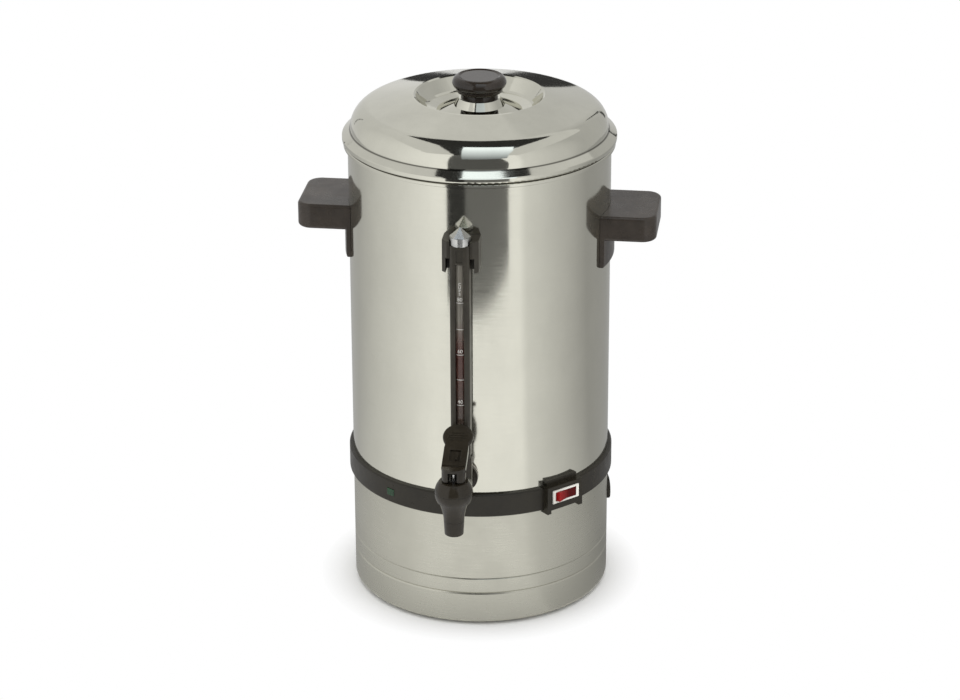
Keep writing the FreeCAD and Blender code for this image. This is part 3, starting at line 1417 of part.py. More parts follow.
def make_terminal_block():
    low = "(foot_drop + pan_recess + base_wall + face_gap)"
    base = block("block_place - block_width / 2", "block_place + block_width / 2", "-block_length / 2",
                 "block_length / 2", low, f"{low} + block_tall")
    holes = []
    for number in range(4):
        y = f"(-block_length / 2 + block_length * {2 * number + 1} / 8)"
        holes.append(rod("x", "1.8", "block_width + 2", "block_place - block_width / 2 - 1", y,
                         f"{low} + block_tall / 2"))
        holes.append(rod("z", "2.2", "block_tall / 2 + 1", "block_place", y, f"{low} + block_tall / 2"))
    return node(cut(base, *holes), "terminal_block")


# Build, test and write
make_base_pan()
make_feet()
make_skirt()
make_band()
make_tank_wall()
make_tank_floor()
make_lid()
make_knob()
make_knob_screw()
make_handle("right_handle", "0")
make_handle("left_handle", "180")
make_wall_screws()
make_gauge_bracket()
make_gauge_shield()
make_gauge_glass()
make_gauge_seal()
make_gauge_cap()
make_tap_shank()
make_shank_washers()
make_shank_nut()
make_tap_body()
make_tap_spout()
make_tap_bonnet()
make_tap_stem()
make_seat_cup()
make_lever_pin()
make_tap_lever()
make_switch_housing()
make_switch_frame()
make_switch_rocker()
make_lamp()
make_inlet()
make_inlet_pins()
make_pump_tube()
make_basket()
make_spreader()
make_element("brew_element", "brew_ring", "brew_tube", "floor_height - well_depth - tank_wall")
make_element("warm_element", "warm_ring", "warm_tube", "floor_height - tank_wall")
make_element_clamp()
make_tie_rod()
make_tie_nuts()
make_button("thermostat", "stat_radius", "stat_depth", "-stat_ring")
make_button("thermal_cutout", "cutout_radius", "cutout_depth", "stat_ring")
make_terminal_block()

document.recompute()

faults = [f"{item.Label}: {item.State}" for item in document.Objects
          if "Invalid" in item.State or "Error" in item.State]
for item in document_nodes:
    if item.Shape.isNull() or not item.Shape.isValid() or not item.Shape.Solids:
        faults.append(f"{item.Label}: shape is empty or not valid")
if faults:
    raise RuntimeError("these objects failed: " + "; ".join(faults))

os.makedirs("parts", exist_ok=True)
for item in document_nodes:
    item.Shape.exportStep(f"parts/{item.Label}.step")
print(len(document_nodes), "pieces written")
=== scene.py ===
"""Coffee urn: finishes, small details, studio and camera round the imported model."""

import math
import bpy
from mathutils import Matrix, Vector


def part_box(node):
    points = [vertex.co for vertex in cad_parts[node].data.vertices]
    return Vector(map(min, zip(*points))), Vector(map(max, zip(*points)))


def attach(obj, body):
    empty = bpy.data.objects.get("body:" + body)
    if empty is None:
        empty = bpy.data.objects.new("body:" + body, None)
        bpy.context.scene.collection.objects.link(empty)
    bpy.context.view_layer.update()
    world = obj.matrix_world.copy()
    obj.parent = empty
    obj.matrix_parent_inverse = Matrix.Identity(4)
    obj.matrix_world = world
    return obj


bl_info = {
    "name": "Coffee Urn Studio",
    "version": (1, 0, 0),
    "blender": (4, 5, 0),
    "location": "3D View > Sidebar > Coffee Urn",
    "description": "Finishes a packed steel coffee urn and sets it in a plain studio",
    "category": "Object",
}

import bmesh
import bpy
from mathutils import Matrix, Vector

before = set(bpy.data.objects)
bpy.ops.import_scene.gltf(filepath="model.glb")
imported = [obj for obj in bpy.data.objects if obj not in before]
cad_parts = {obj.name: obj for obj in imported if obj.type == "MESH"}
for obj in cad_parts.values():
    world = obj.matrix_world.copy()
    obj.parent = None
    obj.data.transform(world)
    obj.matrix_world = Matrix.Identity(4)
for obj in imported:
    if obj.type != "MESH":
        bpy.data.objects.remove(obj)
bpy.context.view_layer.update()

BODY = "urn"


def span(node):
    """Lowest and highest corner of a CAD node, in metres."""
    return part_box(node)


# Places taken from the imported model
TANK_LOW, TANK_HIGH = span("tank_wall")
SKIRT_LOW, SKIRT_HIGH = span("base_skirt")
BAND_LOW, BAND_HIGH = span("trim_band")
GLASS_LOW, GLASS_HIGH = span("gauge_glass")

# The urn's axis stands behind the origin, which lies under the middle of the whole object
AXIS = Vector((0, (TANK_LOW.y + TANK_HIGH.y) / 2, 0))

# Heights of painted shade lines in the gaps: above and below the lid's flange, and above and below the
# tank's rolled rim
LID_SHADE_LINES = (TANK_HIGH.z + 0.0110, TANK_HIGH.z + 0.0006)
RIM_SHADE_LINES = (TANK_HIGH.z - 0.0001, TANK_HIGH.z - 0.0050)


# Settings that a user would change
class UrnFinishes(bpy.types.PropertyGroup):
    steel: bpy.props.FloatVectorProperty(
        name="Polished steel", description="Tint of the tank and lid", subtype="COLOR",
        default=(0.70, 0.69, 0.60), min=0, max=1)
    steel_roughness: bpy.props.FloatProperty(
        name="Polish", description="Roughness of the polished steel", subtype="FACTOR",
        default=0.10, min=0, max=1)
    base_steel: bpy.props.FloatVectorProperty(
        name="Satin steel", description="Tint of the base", subtype="COLOR",
        default=(0.55, 0.54, 0.465), min=0, max=1)
    base_roughness: bpy.props.FloatProperty(
        name="Satin", description="Roughness of the base steel", subtype="FACTOR",
        default=0.28, min=0, max=1)
    phenolic: bpy.props.FloatVectorProperty(
        name="Phenolic", description="Grips and knob", subtype="COLOR",
        default=(0.032, 0.025, 0.019), min=0, max=1)
    band: bpy.props.FloatVectorProperty(
        name="Band", description="Black plastic of band and switch housing", subtype="COLOR",
        default=(0.019, 0.016, 0.010), min=0, max=1)
    tap: bpy.props.FloatVectorProperty(
        name="Tap", description="Glossy black of the tap", subtype="COLOR",
        default=(0.022, 0.018, 0.012), min=0, max=1)
    gauge: bpy.props.FloatVectorProperty(
        name="Gauge", description="Black plastic of the gauge's shield and bracket", subtype="COLOR",
        default=(0.034, 0.030, 0.022), min=0, max=1)
    rocker: bpy.props.FloatVectorProperty(
        name="Rocker", description="See-through red of the rocker", subtype="COLOR",
        default=(0.22, 0.005, 0.005), min=0, max=1)


class UrnDetails(bpy.types.PropertyGroup):
    digit_height: bpy.props.FloatProperty(
        name="Digit height", description="Height of the cup numbers on the gauge", unit="LENGTH",
        default=0.0050)
    tick_width: bpy.props.FloatProperty(
        name="Tick width", description="Width of the ticks on the glass", unit="LENGTH", default=0.0070)
    tick_height: bpy.props.FloatProperty(
        name="Tick height", description="Height of one tick", unit="LENGTH", default=0.0007)
    mark_proud: bpy.props.FloatProperty(
        name="Print thickness", description="Thickness of the printed marks", unit="LENGTH",
        default=0.00008)
    weld_width: bpy.props.FloatProperty(
        name="Weld width", description="Width of the upright welds", unit="LENGTH", default=0.0022)


class UrnStage(bpy.types.PropertyGroup):
    camera_turn: bpy.props.FloatProperty(
        name="Camera azimuth", description="To the right of the front", subtype="ANGLE",
        default=math.radians(7.4))
    camera_rise: bpy.props.FloatProperty(
        name="Camera elevation", description="Above level", subtype="ANGLE", default=math.radians(23.22))
    camera_roll: bpy.props.FloatProperty(
        name="Camera roll", description="Turn of the picture", subtype="ANGLE", default=math.radians(0.21))
    camera_distance: bpy.props.FloatProperty(
        name="Camera distance", description="From the point looked at", unit="LENGTH", default=3.1538)
    camera_aim: bpy.props.FloatProperty(
        name="Aim height", description="Height of the point looked at", unit="LENGTH", default=0.2355)
    camera_shift: bpy.props.FloatProperty(
        name="Camera shift", description="To the left of the line through the axis", unit="LENGTH",
        default=0.00032)
    lens: bpy.props.FloatProperty(
        name="Lens", description="Focal length in millimetres", unit="CAMERA", default=121.48)
    surround: bpy.props.FloatProperty(
        name="Surround", description="Soft light from all round", default=0.66, min=0, max=2)
    tent_reach: bpy.props.FloatProperty(
        name="Tent reach", description="From the tent's middle to its walls and roof", unit="LENGTH",
        default=1.6)
    tent_middle: bpy.props.FloatProperty(
        name="Tent middle", description="Height that the tent's openings are laid out from", unit="LENGTH",
        default=0.48)
    paper_front: bpy.props.FloatProperty(
        name="Paper edge", description="Where the white paper ends in front", unit="LENGTH", default=0.90)


# Range that most values of a noise lie in
NOISE_RANGE = (0.3, 0.7)

# Stretches that lay a noise's lines round the urn or round small upright parts, or leave it even
ROUND_URN = (0.05, 0.05, 1)
ROUND_SHAFT = (0.2, 0.2, 1)
EVEN = (1, 1, 1)

# The colour sockets of Blender's mix node
MIX_FIRST, MIX_SECOND, MIX_RESULT = 6, 7, 2

# Painted shade in the gaps between parts, drawn as a dark line: its colour, half width, the share of that at
# full strength, and that strength
GAP_SHADE = (0.06, 0.055, 0.045)
GAP_SHADE_REACH = 0.0008
GAP_SHADE_CORE = 0.35
GAP_SHADE_STRENGTH = 0.8

# Edges with a greater angle, in degrees, stay sharp
SHARP_ANGLE = 40


# Node trees, written as short chains
class Tree:
    """A material's nodes, with one call per node."""

    def __init__(self, name):
        self.material = bpy.data.materials.new(name)
        self.material.use_nodes = True
        self.nodes = self.material.node_tree.nodes
        self.links = self.material.node_tree.links
        self.shader = self.nodes["Principled BSDF"]
        self.place = self.nodes.new("ShaderNodeTexCoord").outputs["Object"]

    def add(self, kind, links=None, **settings):
        node = self.nodes.new("ShaderNode" + kind)
        for key, value in settings.items():
            if key in node.inputs:
                node.inputs[key].default_value = value
            else:
                setattr(node, key, value)
        for key, output in (links or {}).items():
            self.links.new(output, node.inputs[key])
        return node

    def put(self, socket, value):
        """A plain value on the shader's own socket."""
        self.shader.inputs[socket].default_value = value

    def link(self, output, socket):
        self.links.new(output, self.shader.inputs[socket])

    def finish_with(self, output):
        """Another shader in place of the principled one."""
        self.links.new(output, self.nodes["Material Output"].inputs["Surface"])
        return self.material

    def axes(self):
        """Object coordinates, one by one."""
        return self.add("SeparateXYZ", {"Vector": self.place}).outputs

    def distance(self, vector):
        return self.add("VectorMath", {0: vector}, operation="LENGTH").outputs["Value"]

    def noise(self, scale, detail=4.0, stretch=EVEN, roughness=0.5):
        place = self.add("Mapping", {"Vector": self.place}, Scale=stretch).outputs["Vector"]
        node = self.add("TexNoise", {"Vector": place}, Scale=scale, Detail=detail, Roughness=roughness)
        return node.outputs["Fac"]

    def mapped(self, output, low, high, to_low, to_high):
        node = self.add("MapRange", {"Value": output})
        for socket, value in zip(("From Min", "From Max", "To Min", "To Max"), (low, high, to_low, to_high)):
            node.inputs[socket].default_value = value
        return node.outputs["Result"]

    def spread(self, noise, low, high):
        """A noise's usual range turned into another one."""
        return self.mapped(noise, *NOISE_RANGE, low, high)

    def patches(self, output, start, full, strength=1.0):
        """Nothing up to the start, growing to its strength at full."""
        return self.mapped(output, start, full, 0.0, strength)

    def maths(self, operation, first, second=0.0):
        node = self.add("Math", operation=operation)
        for socket, value in enumerate((first, second)):
            if isinstance(value, (int, float)):
                node.inputs[socket].default_value = value
            else:
                self.links.new(value, node.inputs[socket])
        return node.outputs["Value"]

    def blend(self, factor, first, second):
        node = self.add("Mix", {"Factor": factor}, data_type="RGBA")
        for socket, colour in ((MIX_FIRST, first), (MIX_SECOND, second)):
            if isinstance(colour, bpy.types.NodeSocket):
                self.links.new(colour, node.inputs[socket])
            else:
                node.inputs[socket].default_value = (*colour[:3], 1)
        return node.outputs[MIX_RESULT]

    def bump(self, height, strength, distance, normal=None):
        node = self.add("Bump", {"Height": height}, Strength=strength, Distance=distance)
        if normal is not None:
            self.links.new(normal, node.inputs["Normal"])
        return node.outputs["Normal"]

    def soft_edges(self, radius):
        return self.add("Bevel", Radius=radius).outputs["Normal"]

    def drawn_waves(self):
        """Faint waves of glass or clear plastic."""
        return self.bump(self.noise(scale=250, detail=3), strength=0.1, distance=0.00005)

    def painted_gap_shade(self, colour, heights):
        """Colour with a dark line of painted shade at each height, where a gap between parts lies."""
        if not heights:
            return colour
        height = self.axes()["Z"]
        mask = 0.0
        for crease in heights:
            away = self.maths("ABSOLUTE", self.maths("SUBTRACT", height, crease))
            line = self.mapped(away, GAP_SHADE_REACH * GAP_SHADE_CORE, GAP_SHADE_REACH, GAP_SHADE_STRENGTH, 0.0)
            mask = self.maths("MAXIMUM", mask, line)
        return self.blend(mask, colour, GAP_SHADE)


def shaded(colour, factor):
    """A colour made lighter or darker."""
    return tuple(max(0.0, min(1.0, part * factor)) for part in colour)


# Finishes
def rolled_steel(name, colour, roughness, along=ROUND_URN, depth=0.00005, stain=0.04, metal=1.0, shade_lines=()):
    """Sheet steel: fine lines one way, slow ripple, faint stains and wiped patches."""
    tree = Tree(name)
    tree.put("Metallic", metal)
    lines = tree.noise(scale=1100, detail=3, stretch=along)
    ripple = tree.noise(scale=9, detail=2, stretch=(1, 1, 0.35))
    stains = tree.noise(scale=26, detail=6, stretch=(1, 1, 0.6), roughness=0.6)
    stained = tree.patches(stains, start=0.35, full=0.75)
    mottled = tree.blend(stained, shaded(colour, 1 + stain), shaded(colour, 1 - stain))
    lined = tree.blend(tree.spread(lines, 0, 0.3), mottled, shaded(colour, 0.97))
    # Painted shade lines at the given heights, where gaps between parts lie
    tree.link(tree.painted_gap_shade(lined, shade_lines), "Base Color")
    wiped = tree.patches(stains, start=0.3, full=0.8, strength=roughness * 0.5)
    brushed = tree.spread(lines, roughness * 0.7, roughness * 1.1)
    tree.link(tree.maths("ADD", brushed, wiped), "Roughness")
    fine = tree.bump(lines, strength=0.06, distance=depth)
    tree.link(tree.bump(ripple, strength=0.2, distance=0.0004, normal=fine), "Normal")
    return tree.material


def spun_steel(name, colour, roughness, shade_lines=()):
    """Spun sheet, turned round the urn's axis: faint rings and soft stains."""
    tree = Tree(name)
    tree.put("Metallic", 1.0)
    centred = tree.add("VectorMath", {0: tree.place}, operation="SUBTRACT")
    centred.inputs[1].default_value = AXIS
    parts = tree.add("SeparateXYZ", {"Vector": centred.outputs["Vector"]}).outputs
    level = tree.add("CombineXYZ", {"X": parts["X"], "Y": parts["Y"]}).outputs["Vector"]
    across = tree.add("CombineXYZ", {"X": tree.distance(level), "Z": parts["Z"]}).outputs["Vector"]
    rings = tree.add("TexNoise", {"Vector": across}, Scale=900.0, Detail=3.0).outputs["Fac"]
    slow = tree.noise(scale=12, detail=2)
    stains = tree.noise(scale=30, detail=6, roughness=0.62)
    stained = tree.patches(stains, start=0.35, full=0.75)
    mottled = tree.blend(stained, shaded(colour, 1.04), shaded(colour, 0.95))
    # Painted shade lines at the given heights, where gaps between parts lie
    tree.link(tree.painted_gap_shade(mottled, shade_lines), "Base Color")
    tree.link(tree.spread(rings, roughness * 0.75, roughness * 1.3), "Roughness")
    turned = tree.bump(rings, strength=0.08, distance=0.00006)
    tree.link(tree.bump(slow, strength=0.15, distance=0.0003, normal=turned), "Normal")
    return tree.material


def cast_metal(name, colour, roughness):
    """Turned or plated small metal parts: tool lines, tarnish and soft edges."""
    tree = Tree(name)
    tree.put("Metallic", 1.0)
    tool = tree.noise(scale=1500, detail=2, stretch=ROUND_SHAFT)
    tarnish = tree.noise(scale=120, detail=6, roughness=0.65)
    dulled = tree.patches(tarnish, start=0.4, full=0.8)
    tree.link(tree.blend(dulled, colour, shaded(colour, 0.66)), "Base Color")
    tree.link(tree.mapped(tarnish, 0.3, 0.8, roughness * 0.8, roughness * 1.6), "Roughness")
    tree.link(tree.bump(tool, strength=0.15, distance=0.00004, normal=tree.soft_edges(0.0003)), "Normal")
    return tree.material


# Dust on moulded parts, their clear coat and how strongly they mirror
DUST = (0.16, 0.14, 0.12)
COAT_ROUGHNESS = 0.08
MOULDED_SHINE = 0.42


def moulded(name, colour, roughness, edge=0.0005, swirl=0.0, coat=0.0, grain=0.00004, grain_scale=1400,
            ior=1.42):
    """Moulded plastic or phenolic: skin grain, slow colour change, handled patches and soft edges."""
    tree = Tree(name)
    tree.put("Coat Weight", coat)
    tree.put("Coat Roughness", COAT_ROUGHNESS)
    tree.put("IOR", ior)
    tree.put("Specular IOR Level", MOULDED_SHINE)
    skin = tree.noise(scale=grain_scale, detail=2)
    slow = tree.noise(scale=38, detail=5, roughness=0.6)
    handled = tree.noise(scale=90, detail=4)
    base = tree.blend(tree.spread(slow, 0, 1), shaded(colour, 0.8), shaded(colour, 1.3 + swirl))
    dusty = tree.patches(handled, start=0.55, full=0.85, strength=0.03)
    tree.link(tree.blend(dusty, base, DUST), "Base Color")
    rubbed = tree.spread(handled, roughness * 0.82, roughness * 1.2)
    tree.link(tree.maths("ADD", rubbed, tree.spread(skin, -0.02, 0.02)), "Roughness")
    tree.link(tree.bump(skin, strength=0.2, distance=grain, normal=tree.soft_edges(edge)), "Normal")
    return tree.material


def see_through(name, colour, shade, roughness, ior, weight):
    """Lens or silicone: tinted, with a film that thickens in patches."""
    tree = Tree(name)
    tree.put("Transmission Weight", weight)
    tree.put("IOR", ior)
    film = tree.noise(scale=60, detail=5, stretch=(1, 1, 0.4))
    tree.link(tree.blend(tree.patches(film, start=0.35, full=0.75), colour, shade), "Base Color")
    tree.link(tree.spread(film, roughness * 0.6, roughness * 1.6 + 0.01), "Roughness")
    tree.link(tree.drawn_waves(), "Normal")
    return tree.material


# What coffee leaves in the sight glass, from the bottom up
GLASS_BROWN = (0.19, 0.14, 0.11)
GLASS_RED = (0.22, 0.085, 0.065)
GLASS_CLEAR = (0.44, 0.41, 0.35)
GLASS_FILM = (0.06, 0.035, 0.028)


def gauge_tube(name):
    """Sight glass: clear above, stained red-brown by coffee lower down, with an uneven edge between."""
    tree = Tree(name)
    tree.put("Transmission Weight", 0.55)
    tree.put("IOR", 1.48)
    film = tree.noise(scale=70, detail=5, stretch=(1, 1, 0.3))
    level = tree.maths("ADD", tree.axes()["Z"], tree.spread(film, -0.004, 0.004))
    reddening = tree.patches(level, start=GLASS_LOW.z + 0.05, full=GLASS_LOW.z + 0.12)
    stained = tree.blend(reddening, GLASS_BROWN, GLASS_RED)
    clear_from = GLASS_LOW.z + 0.66 * (GLASS_HIGH.z - GLASS_LOW.z)
    clearing = tree.patches(level, start=clear_from - 0.03, full=clear_from)
    tube = tree.blend(clearing, stained, GLASS_CLEAR)
    filmed = tree.patches(film, start=0.4, full=0.8, strength=0.35)
    tree.link(tree.blend(filmed, tube, GLASS_FILM), "Base Color")
    tree.link(tree.spread(film, 0.04, 0.12), "Roughness")
    tree.link(tree.drawn_waves(), "Normal")
    return tree.material


def rocker_painted_highlight(name, colour):
    """Red rocker with a painted highlight: lighter at its lower X end, darker towards the other."""
    tree = Tree(name)
    tree.put("IOR", 1.36)
    tree.put("Specular IOR Level", 0.25)
    low, high = span("switch_rocker")
    scuffs = tree.noise(scale=240, detail=4)
    # Painted highlight and shade: a lit copy of the red at one end fades to a shaded copy at the other
    highlight_fade = tree.patches(tree.axes()["X"], start=low.x, full=high.x - 0.006)
    glow = tree.blend(highlight_fade, shaded(colour, 2.2), shaded(colour, 0.35))
    scuffed = tree.patches(scuffs, start=0.5, full=0.8, strength=0.2)
    tree.link(tree.blend(scuffed, glow, shaded(colour, 0.5)), "Base Color")
    tree.link(tree.spread(scuffs, 0.12, 0.22), "Roughness")
    tree.link(tree.bump(scuffs, strength=0.1, distance=0.00003, normal=tree.soft_edges(0.0003)), "Normal")
    return tree.material


def printed(name, colour):
    """Printed marks, worn thin in places."""
    tree = Tree(name)
    worn = tree.noise(scale=900, detail=3)
    thin = tree.patches(worn, start=0.45, full=0.75, strength=0.5)
    tree.link(tree.blend(thin, colour, shaded(colour, 0.6)), "Base Color")
    tree.link(tree.spread(worn, 0.4, 0.6), "Roughness")
    return tree.material


# Meshes and how they are dressed
def dress(material, *nodes):
    """Give CAD nodes a finish."""
    for name in nodes:
        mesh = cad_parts[name].data
        mesh.materials.clear()
        mesh.materials.append(material)


def keep(piece, material):
    """Dress a new piece and let it ride on the urn's body."""
    piece.data.materials.append(material)
    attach(piece, BODY)


def mesh_piece(name, build):
    """A mesh object filled by a function that works on its bmesh."""
    mesh = bpy.data.meshes.new(name)
    work = bmesh.new()
    build(work)
    bmesh.ops.recalc_face_normals(work, faces=work.faces)
    work.to_mesh(mesh)
    work.free()
    piece = bpy.data.objects.new(name, mesh)
    bpy.context.scene.collection.objects.link(piece)
    return piece


def join_rows(work, rows, edges):
    """Faces between each row of vertices and the next, along the edges of a row."""
    for first, second in zip(rows, rows[1:]):
        for start, end in edges:
            work.faces.new((first[start], first[end], second[end], second[start]))


# Finishes of the CAD nodes
class URN_OT_steel(bpy.types.Operator):
    """Polished tank and lid, satin base, bright insert"""
    bl_idname = "urn.steel"
    bl_label = "Steel"

    def execute(self, context):
        looks = context.scene.urn_finishes
        polish = looks.steel_roughness
        # The tank's rim and the lid's flange get painted shade lines in their gaps
        dress(rolled_steel("PolishedTank", looks.steel, polish, shade_lines=RIM_SHADE_LINES), "tank_wall")
        self.line_tank(rolled_steel("TankInside", shaded(looks.steel, 0.95), roughness=0.42, depth=0.0001,
                                    stain=0.12, metal=0.6))
        dress(spun_steel("PolishedLid", looks.steel, polish * 0.75, LID_SHADE_LINES), "lid_shell")
        dress(rolled_steel("SatinBase", looks.base_steel, looks.base_roughness), "base_skirt", "base_pan")
        dress(spun_steel("InnerSteel", shaded(looks.steel, 1.05), roughness=0.3),
              "tank_floor", "coffee_basket", "basket_spreader", "pump_tube")
        dress(cast_metal("PlatedMetal", (0.66, 0.66, 0.64), roughness=0.22),
              "gauge_cap", "knob_screw", "wall_screws", "tap_stem", "lever_pin", "inlet_pins",
              "element_clamp", "tie_rod", "tie_nuts", "thermostat", "thermal_cutout")
        dress(cast_metal("ElementSheath", (0.34, 0.33, 0.31), roughness=0.4), "brew_element", "warm_element")
        dress(cast_metal("TurnedBrass", (0.62, 0.45, 0.20), roughness=0.3), "shank_nut")
        return {"FINISHED"}

    def line_tank(self, satin):
        """Satin finish on the tank's inner face."""
        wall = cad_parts["tank_wall"]
        wall.data.materials.append(satin)
        place = wall.matrix_world
        turned = place.to_3x3()
        for face in wall.data.polygons:
            outward = (place @ face.center) - AXIS
            facing = turned @ face.normal
            if outward.x * facing.x + outward.y * facing.y < 0:
                face.material_index = 1


class URN_OT_plastics(bpy.types.Operator):
    """Phenolic grips and knob, black band, tap and gauge, switch"""
    bl_idname = "urn.plastics"
    bl_label = "Plastics"

    def execute(self, context):
        looks = context.scene.urn_finishes
        dress(moulded("Phenolic", looks.phenolic, roughness=0.30, edge=0.0008, swirl=0.3, coat=0.15),
              "left_handle", "right_handle")
        dress(moulded("KnobPhenolic", shaded(looks.phenolic, 0.7), roughness=0.14, edge=0.0006, swirl=0.2,
                      coat=0.2, ior=1.44), "lid_knob")
        dress(moulded("BlackBand", looks.band, roughness=0.32), "trim_band", "switch_housing", "power_inlet")
        dress(moulded("TapBlack", looks.tap, roughness=0.17, edge=0.0007, swirl=0.1, coat=0.1, ior=1.36),
              "tap_body", "tap_spout", "tap_bonnet", "tap_lever", "tap_shank")
        dress(moulded("GaugeBlack", looks.gauge, roughness=0.34, swirl=0.1), "gauge_shield", "gauge_bracket")
        dress(moulded("WhiteFrame", (0.78, 0.76, 0.70), roughness=0.35), "switch_frame")
        dress(moulded("WhiteCeramic", (0.74, 0.71, 0.64), roughness=0.6, grain=0.0001, grain_scale=600),
              "terminal_block")
        dress(moulded("FootRubber", (0.02, 0.02, 0.02), roughness=0.75), "rubber_feet")
        return {"FINISHED"}


class URN_OT_clear_parts(bpy.types.Operator):
    """Gauge glass, silicone, rocker and lamp lens"""
    bl_idname = "urn.clear_parts"
    bl_label = "Clear parts"

    def execute(self, context):
        dress(gauge_tube("GaugeGlass"), "gauge_glass")
        dress(see_through("Silicone", (0.85, 0.83, 0.78), shade=(0.66, 0.60, 0.52), roughness=0.35, ior=1.41,
                          weight=0.5), "gauge_seal", "seat_cup", "shank_washers")
        # The rocker's brightness along its length is a painted highlight
        dress(rocker_painted_highlight("RockerRed", context.scene.urn_finishes.rocker), "switch_rocker")
        dress(see_through("LampGreen", (0.01, 0.07, 0.02), shade=(0.006, 0.035, 0.012), roughness=0.2,
                          ior=1.49, weight=0.2), "indicator_lamp")
        return {"FINISHED"}


class URN_OT_shading(bpy.types.Operator):
    """Smooth shading for all nodes, with their sharp edges kept"""
    bl_idname = "urn.shading"
    bl_label = "Shading"

    def execute(self, context):
        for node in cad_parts.values():
            node.data.shade_smooth()
            node.data.set_sharp_from_angle(angle=math.radians(SHARP_ANGLE))
        return {"FINISHED"}


# Heights of the ticks for 40, 50, 60, 70 and 80 cups, set on the glass as in the photograph
CUP_HEIGHTS = tuple(GLASS_LOW.z + up for up in (0.0655, 0.0913, 0.1165, 0.1420, 0.1684))

# Ticks follow the round glass in short steps, and the print keeps a hair's gap from the glass
TICK_STEPS = 12
PRINT_GAP = 0.00004

# Middle of a number over its tick
DIGIT_LIFT = 0.0034

# Small letters above the last number, one below the other: the first one's middle over the last tick,
# the step down, and their size as a share of the numbers'
LETTER_TOP = 0.0185
LETTER_PITCH = 0.0032
LETTER_SHARE = 0.72

# How much fuller the strokes are than the font's
STROKE_SWELL = 0.00006


# Printed cup scale of the gauge
class URN_OT_cup_marks(bpy.types.Operator):
    """Cup numbers, letters and ticks on the gauge"""
    bl_idname = "urn.cup_marks"
    bl_label = "Cup marks"

    def execute(self, context):
        details = context.scene.urn_details
        ink = printed("MarkWhite", (0.72, 0.71, 0.66))
        marks = [mesh_piece("cup_ticks", lambda work: self.ticks(work, details))]
        for number, height in zip(("40", "60", "80"), CUP_HEIGHTS[::2]):
            marks.append(self.letters("cups_" + number, number, details.digit_height, height + DIGIT_LIFT))
        for place, letter in enumerate("CUPS"):
            height = CUP_HEIGHTS[-1] + LETTER_TOP - place * LETTER_PITCH
            size = details.digit_height * LETTER_SHARE
            marks.append(self.letters("cups_" + letter, letter, size, height))
        for mark in marks:
            self.wrap(mark)
            keep(mark, ink)
        return {"FINISHED"}

    def ticks(self, work, details):
        """All ticks, flat, as thin bars."""
        for height in CUP_HEIGHTS:
            rows = []
            for step in range(TICK_STEPS + 1):
                x = details.tick_width / 2 * (2 * step / TICK_STEPS - 1)
                rows.append([work.verts.new((x, lift, height + side * details.tick_height / 2))
                             for side in (-1, 1) for lift in (0.0, details.mark_proud)])
            join_rows(work, rows, ((0, 1), (1, 3), (3, 2), (2, 0)))
            for end in (rows[0], rows[-1]):
                work.faces.new((end[0], end[1], end[3], end[2]))

    def letters(self, name, text, size, height):
        """Text as a flat mesh, upright in the XZ plane, its print thickness along Y."""
        thick = bpy.context.scene.urn_details.mark_proud
        curve = bpy.data.curves.new(name, "FONT")
        curve.body = text
        curve.size = size
        curve.extrude = thick / 2
        curve.offset = STROKE_SWELL
        curve.align_x = "CENTER"
        curve.align_y = "CENTER"
        holder = bpy.data.objects.new(name + "_text", curve)
        bpy.context.scene.collection.objects.link(holder)
        bpy.context.view_layer.update()
        mesh = bpy.data.meshes.new_from_object(holder.evaluated_get(bpy.context.evaluated_depsgraph_get()))
        bpy.data.objects.remove(holder)
        bpy.data.curves.remove(curve)
        for vertex in mesh.vertices:
            x, y, z = vertex.co
            vertex.co = (x, z + thick / 2, y + height)
        mesh.name = name
        piece = bpy.data.objects.new(name, mesh)
        bpy.context.scene.collection.objects.link(piece)
        return piece

    def wrap(self, piece):
        """Bend a flat print round the front of the glass; Y holds its height over the glass."""
        centre = (GLASS_LOW + GLASS_HIGH) / 2
        radius = (GLASS_HIGH.x - GLASS_LOW.x) / 2 + PRINT_GAP
        for vertex in piece.data.vertices:
            x, lift, z = vertex.co
            turn = x / radius
            reach = radius + lift
            vertex.co = (centre.x + reach * math.sin(turn), centre.y - reach * math.cos(turn), z)


# A weld's section: place across it in half widths, and depth over the skirt's back
WELD_PROFILE = ((-1, -0.0002), (-0.5, 0.00019), (0, 0.00025), (0.5, 0.00019), (1, -0.0002))

# Its rows, and the small wave of its edges
WELD_PITCH = 0.0012
WELD_WAVE = 0.00004
WAVE_TURN = 2.1

# How far the tank's weld stays below its top and over the band, and the base's within the bare skirt
RIM_ROOM = 0.007
BAND_ROOM = 0.0005
SKIRT_ROOM = 0.0003


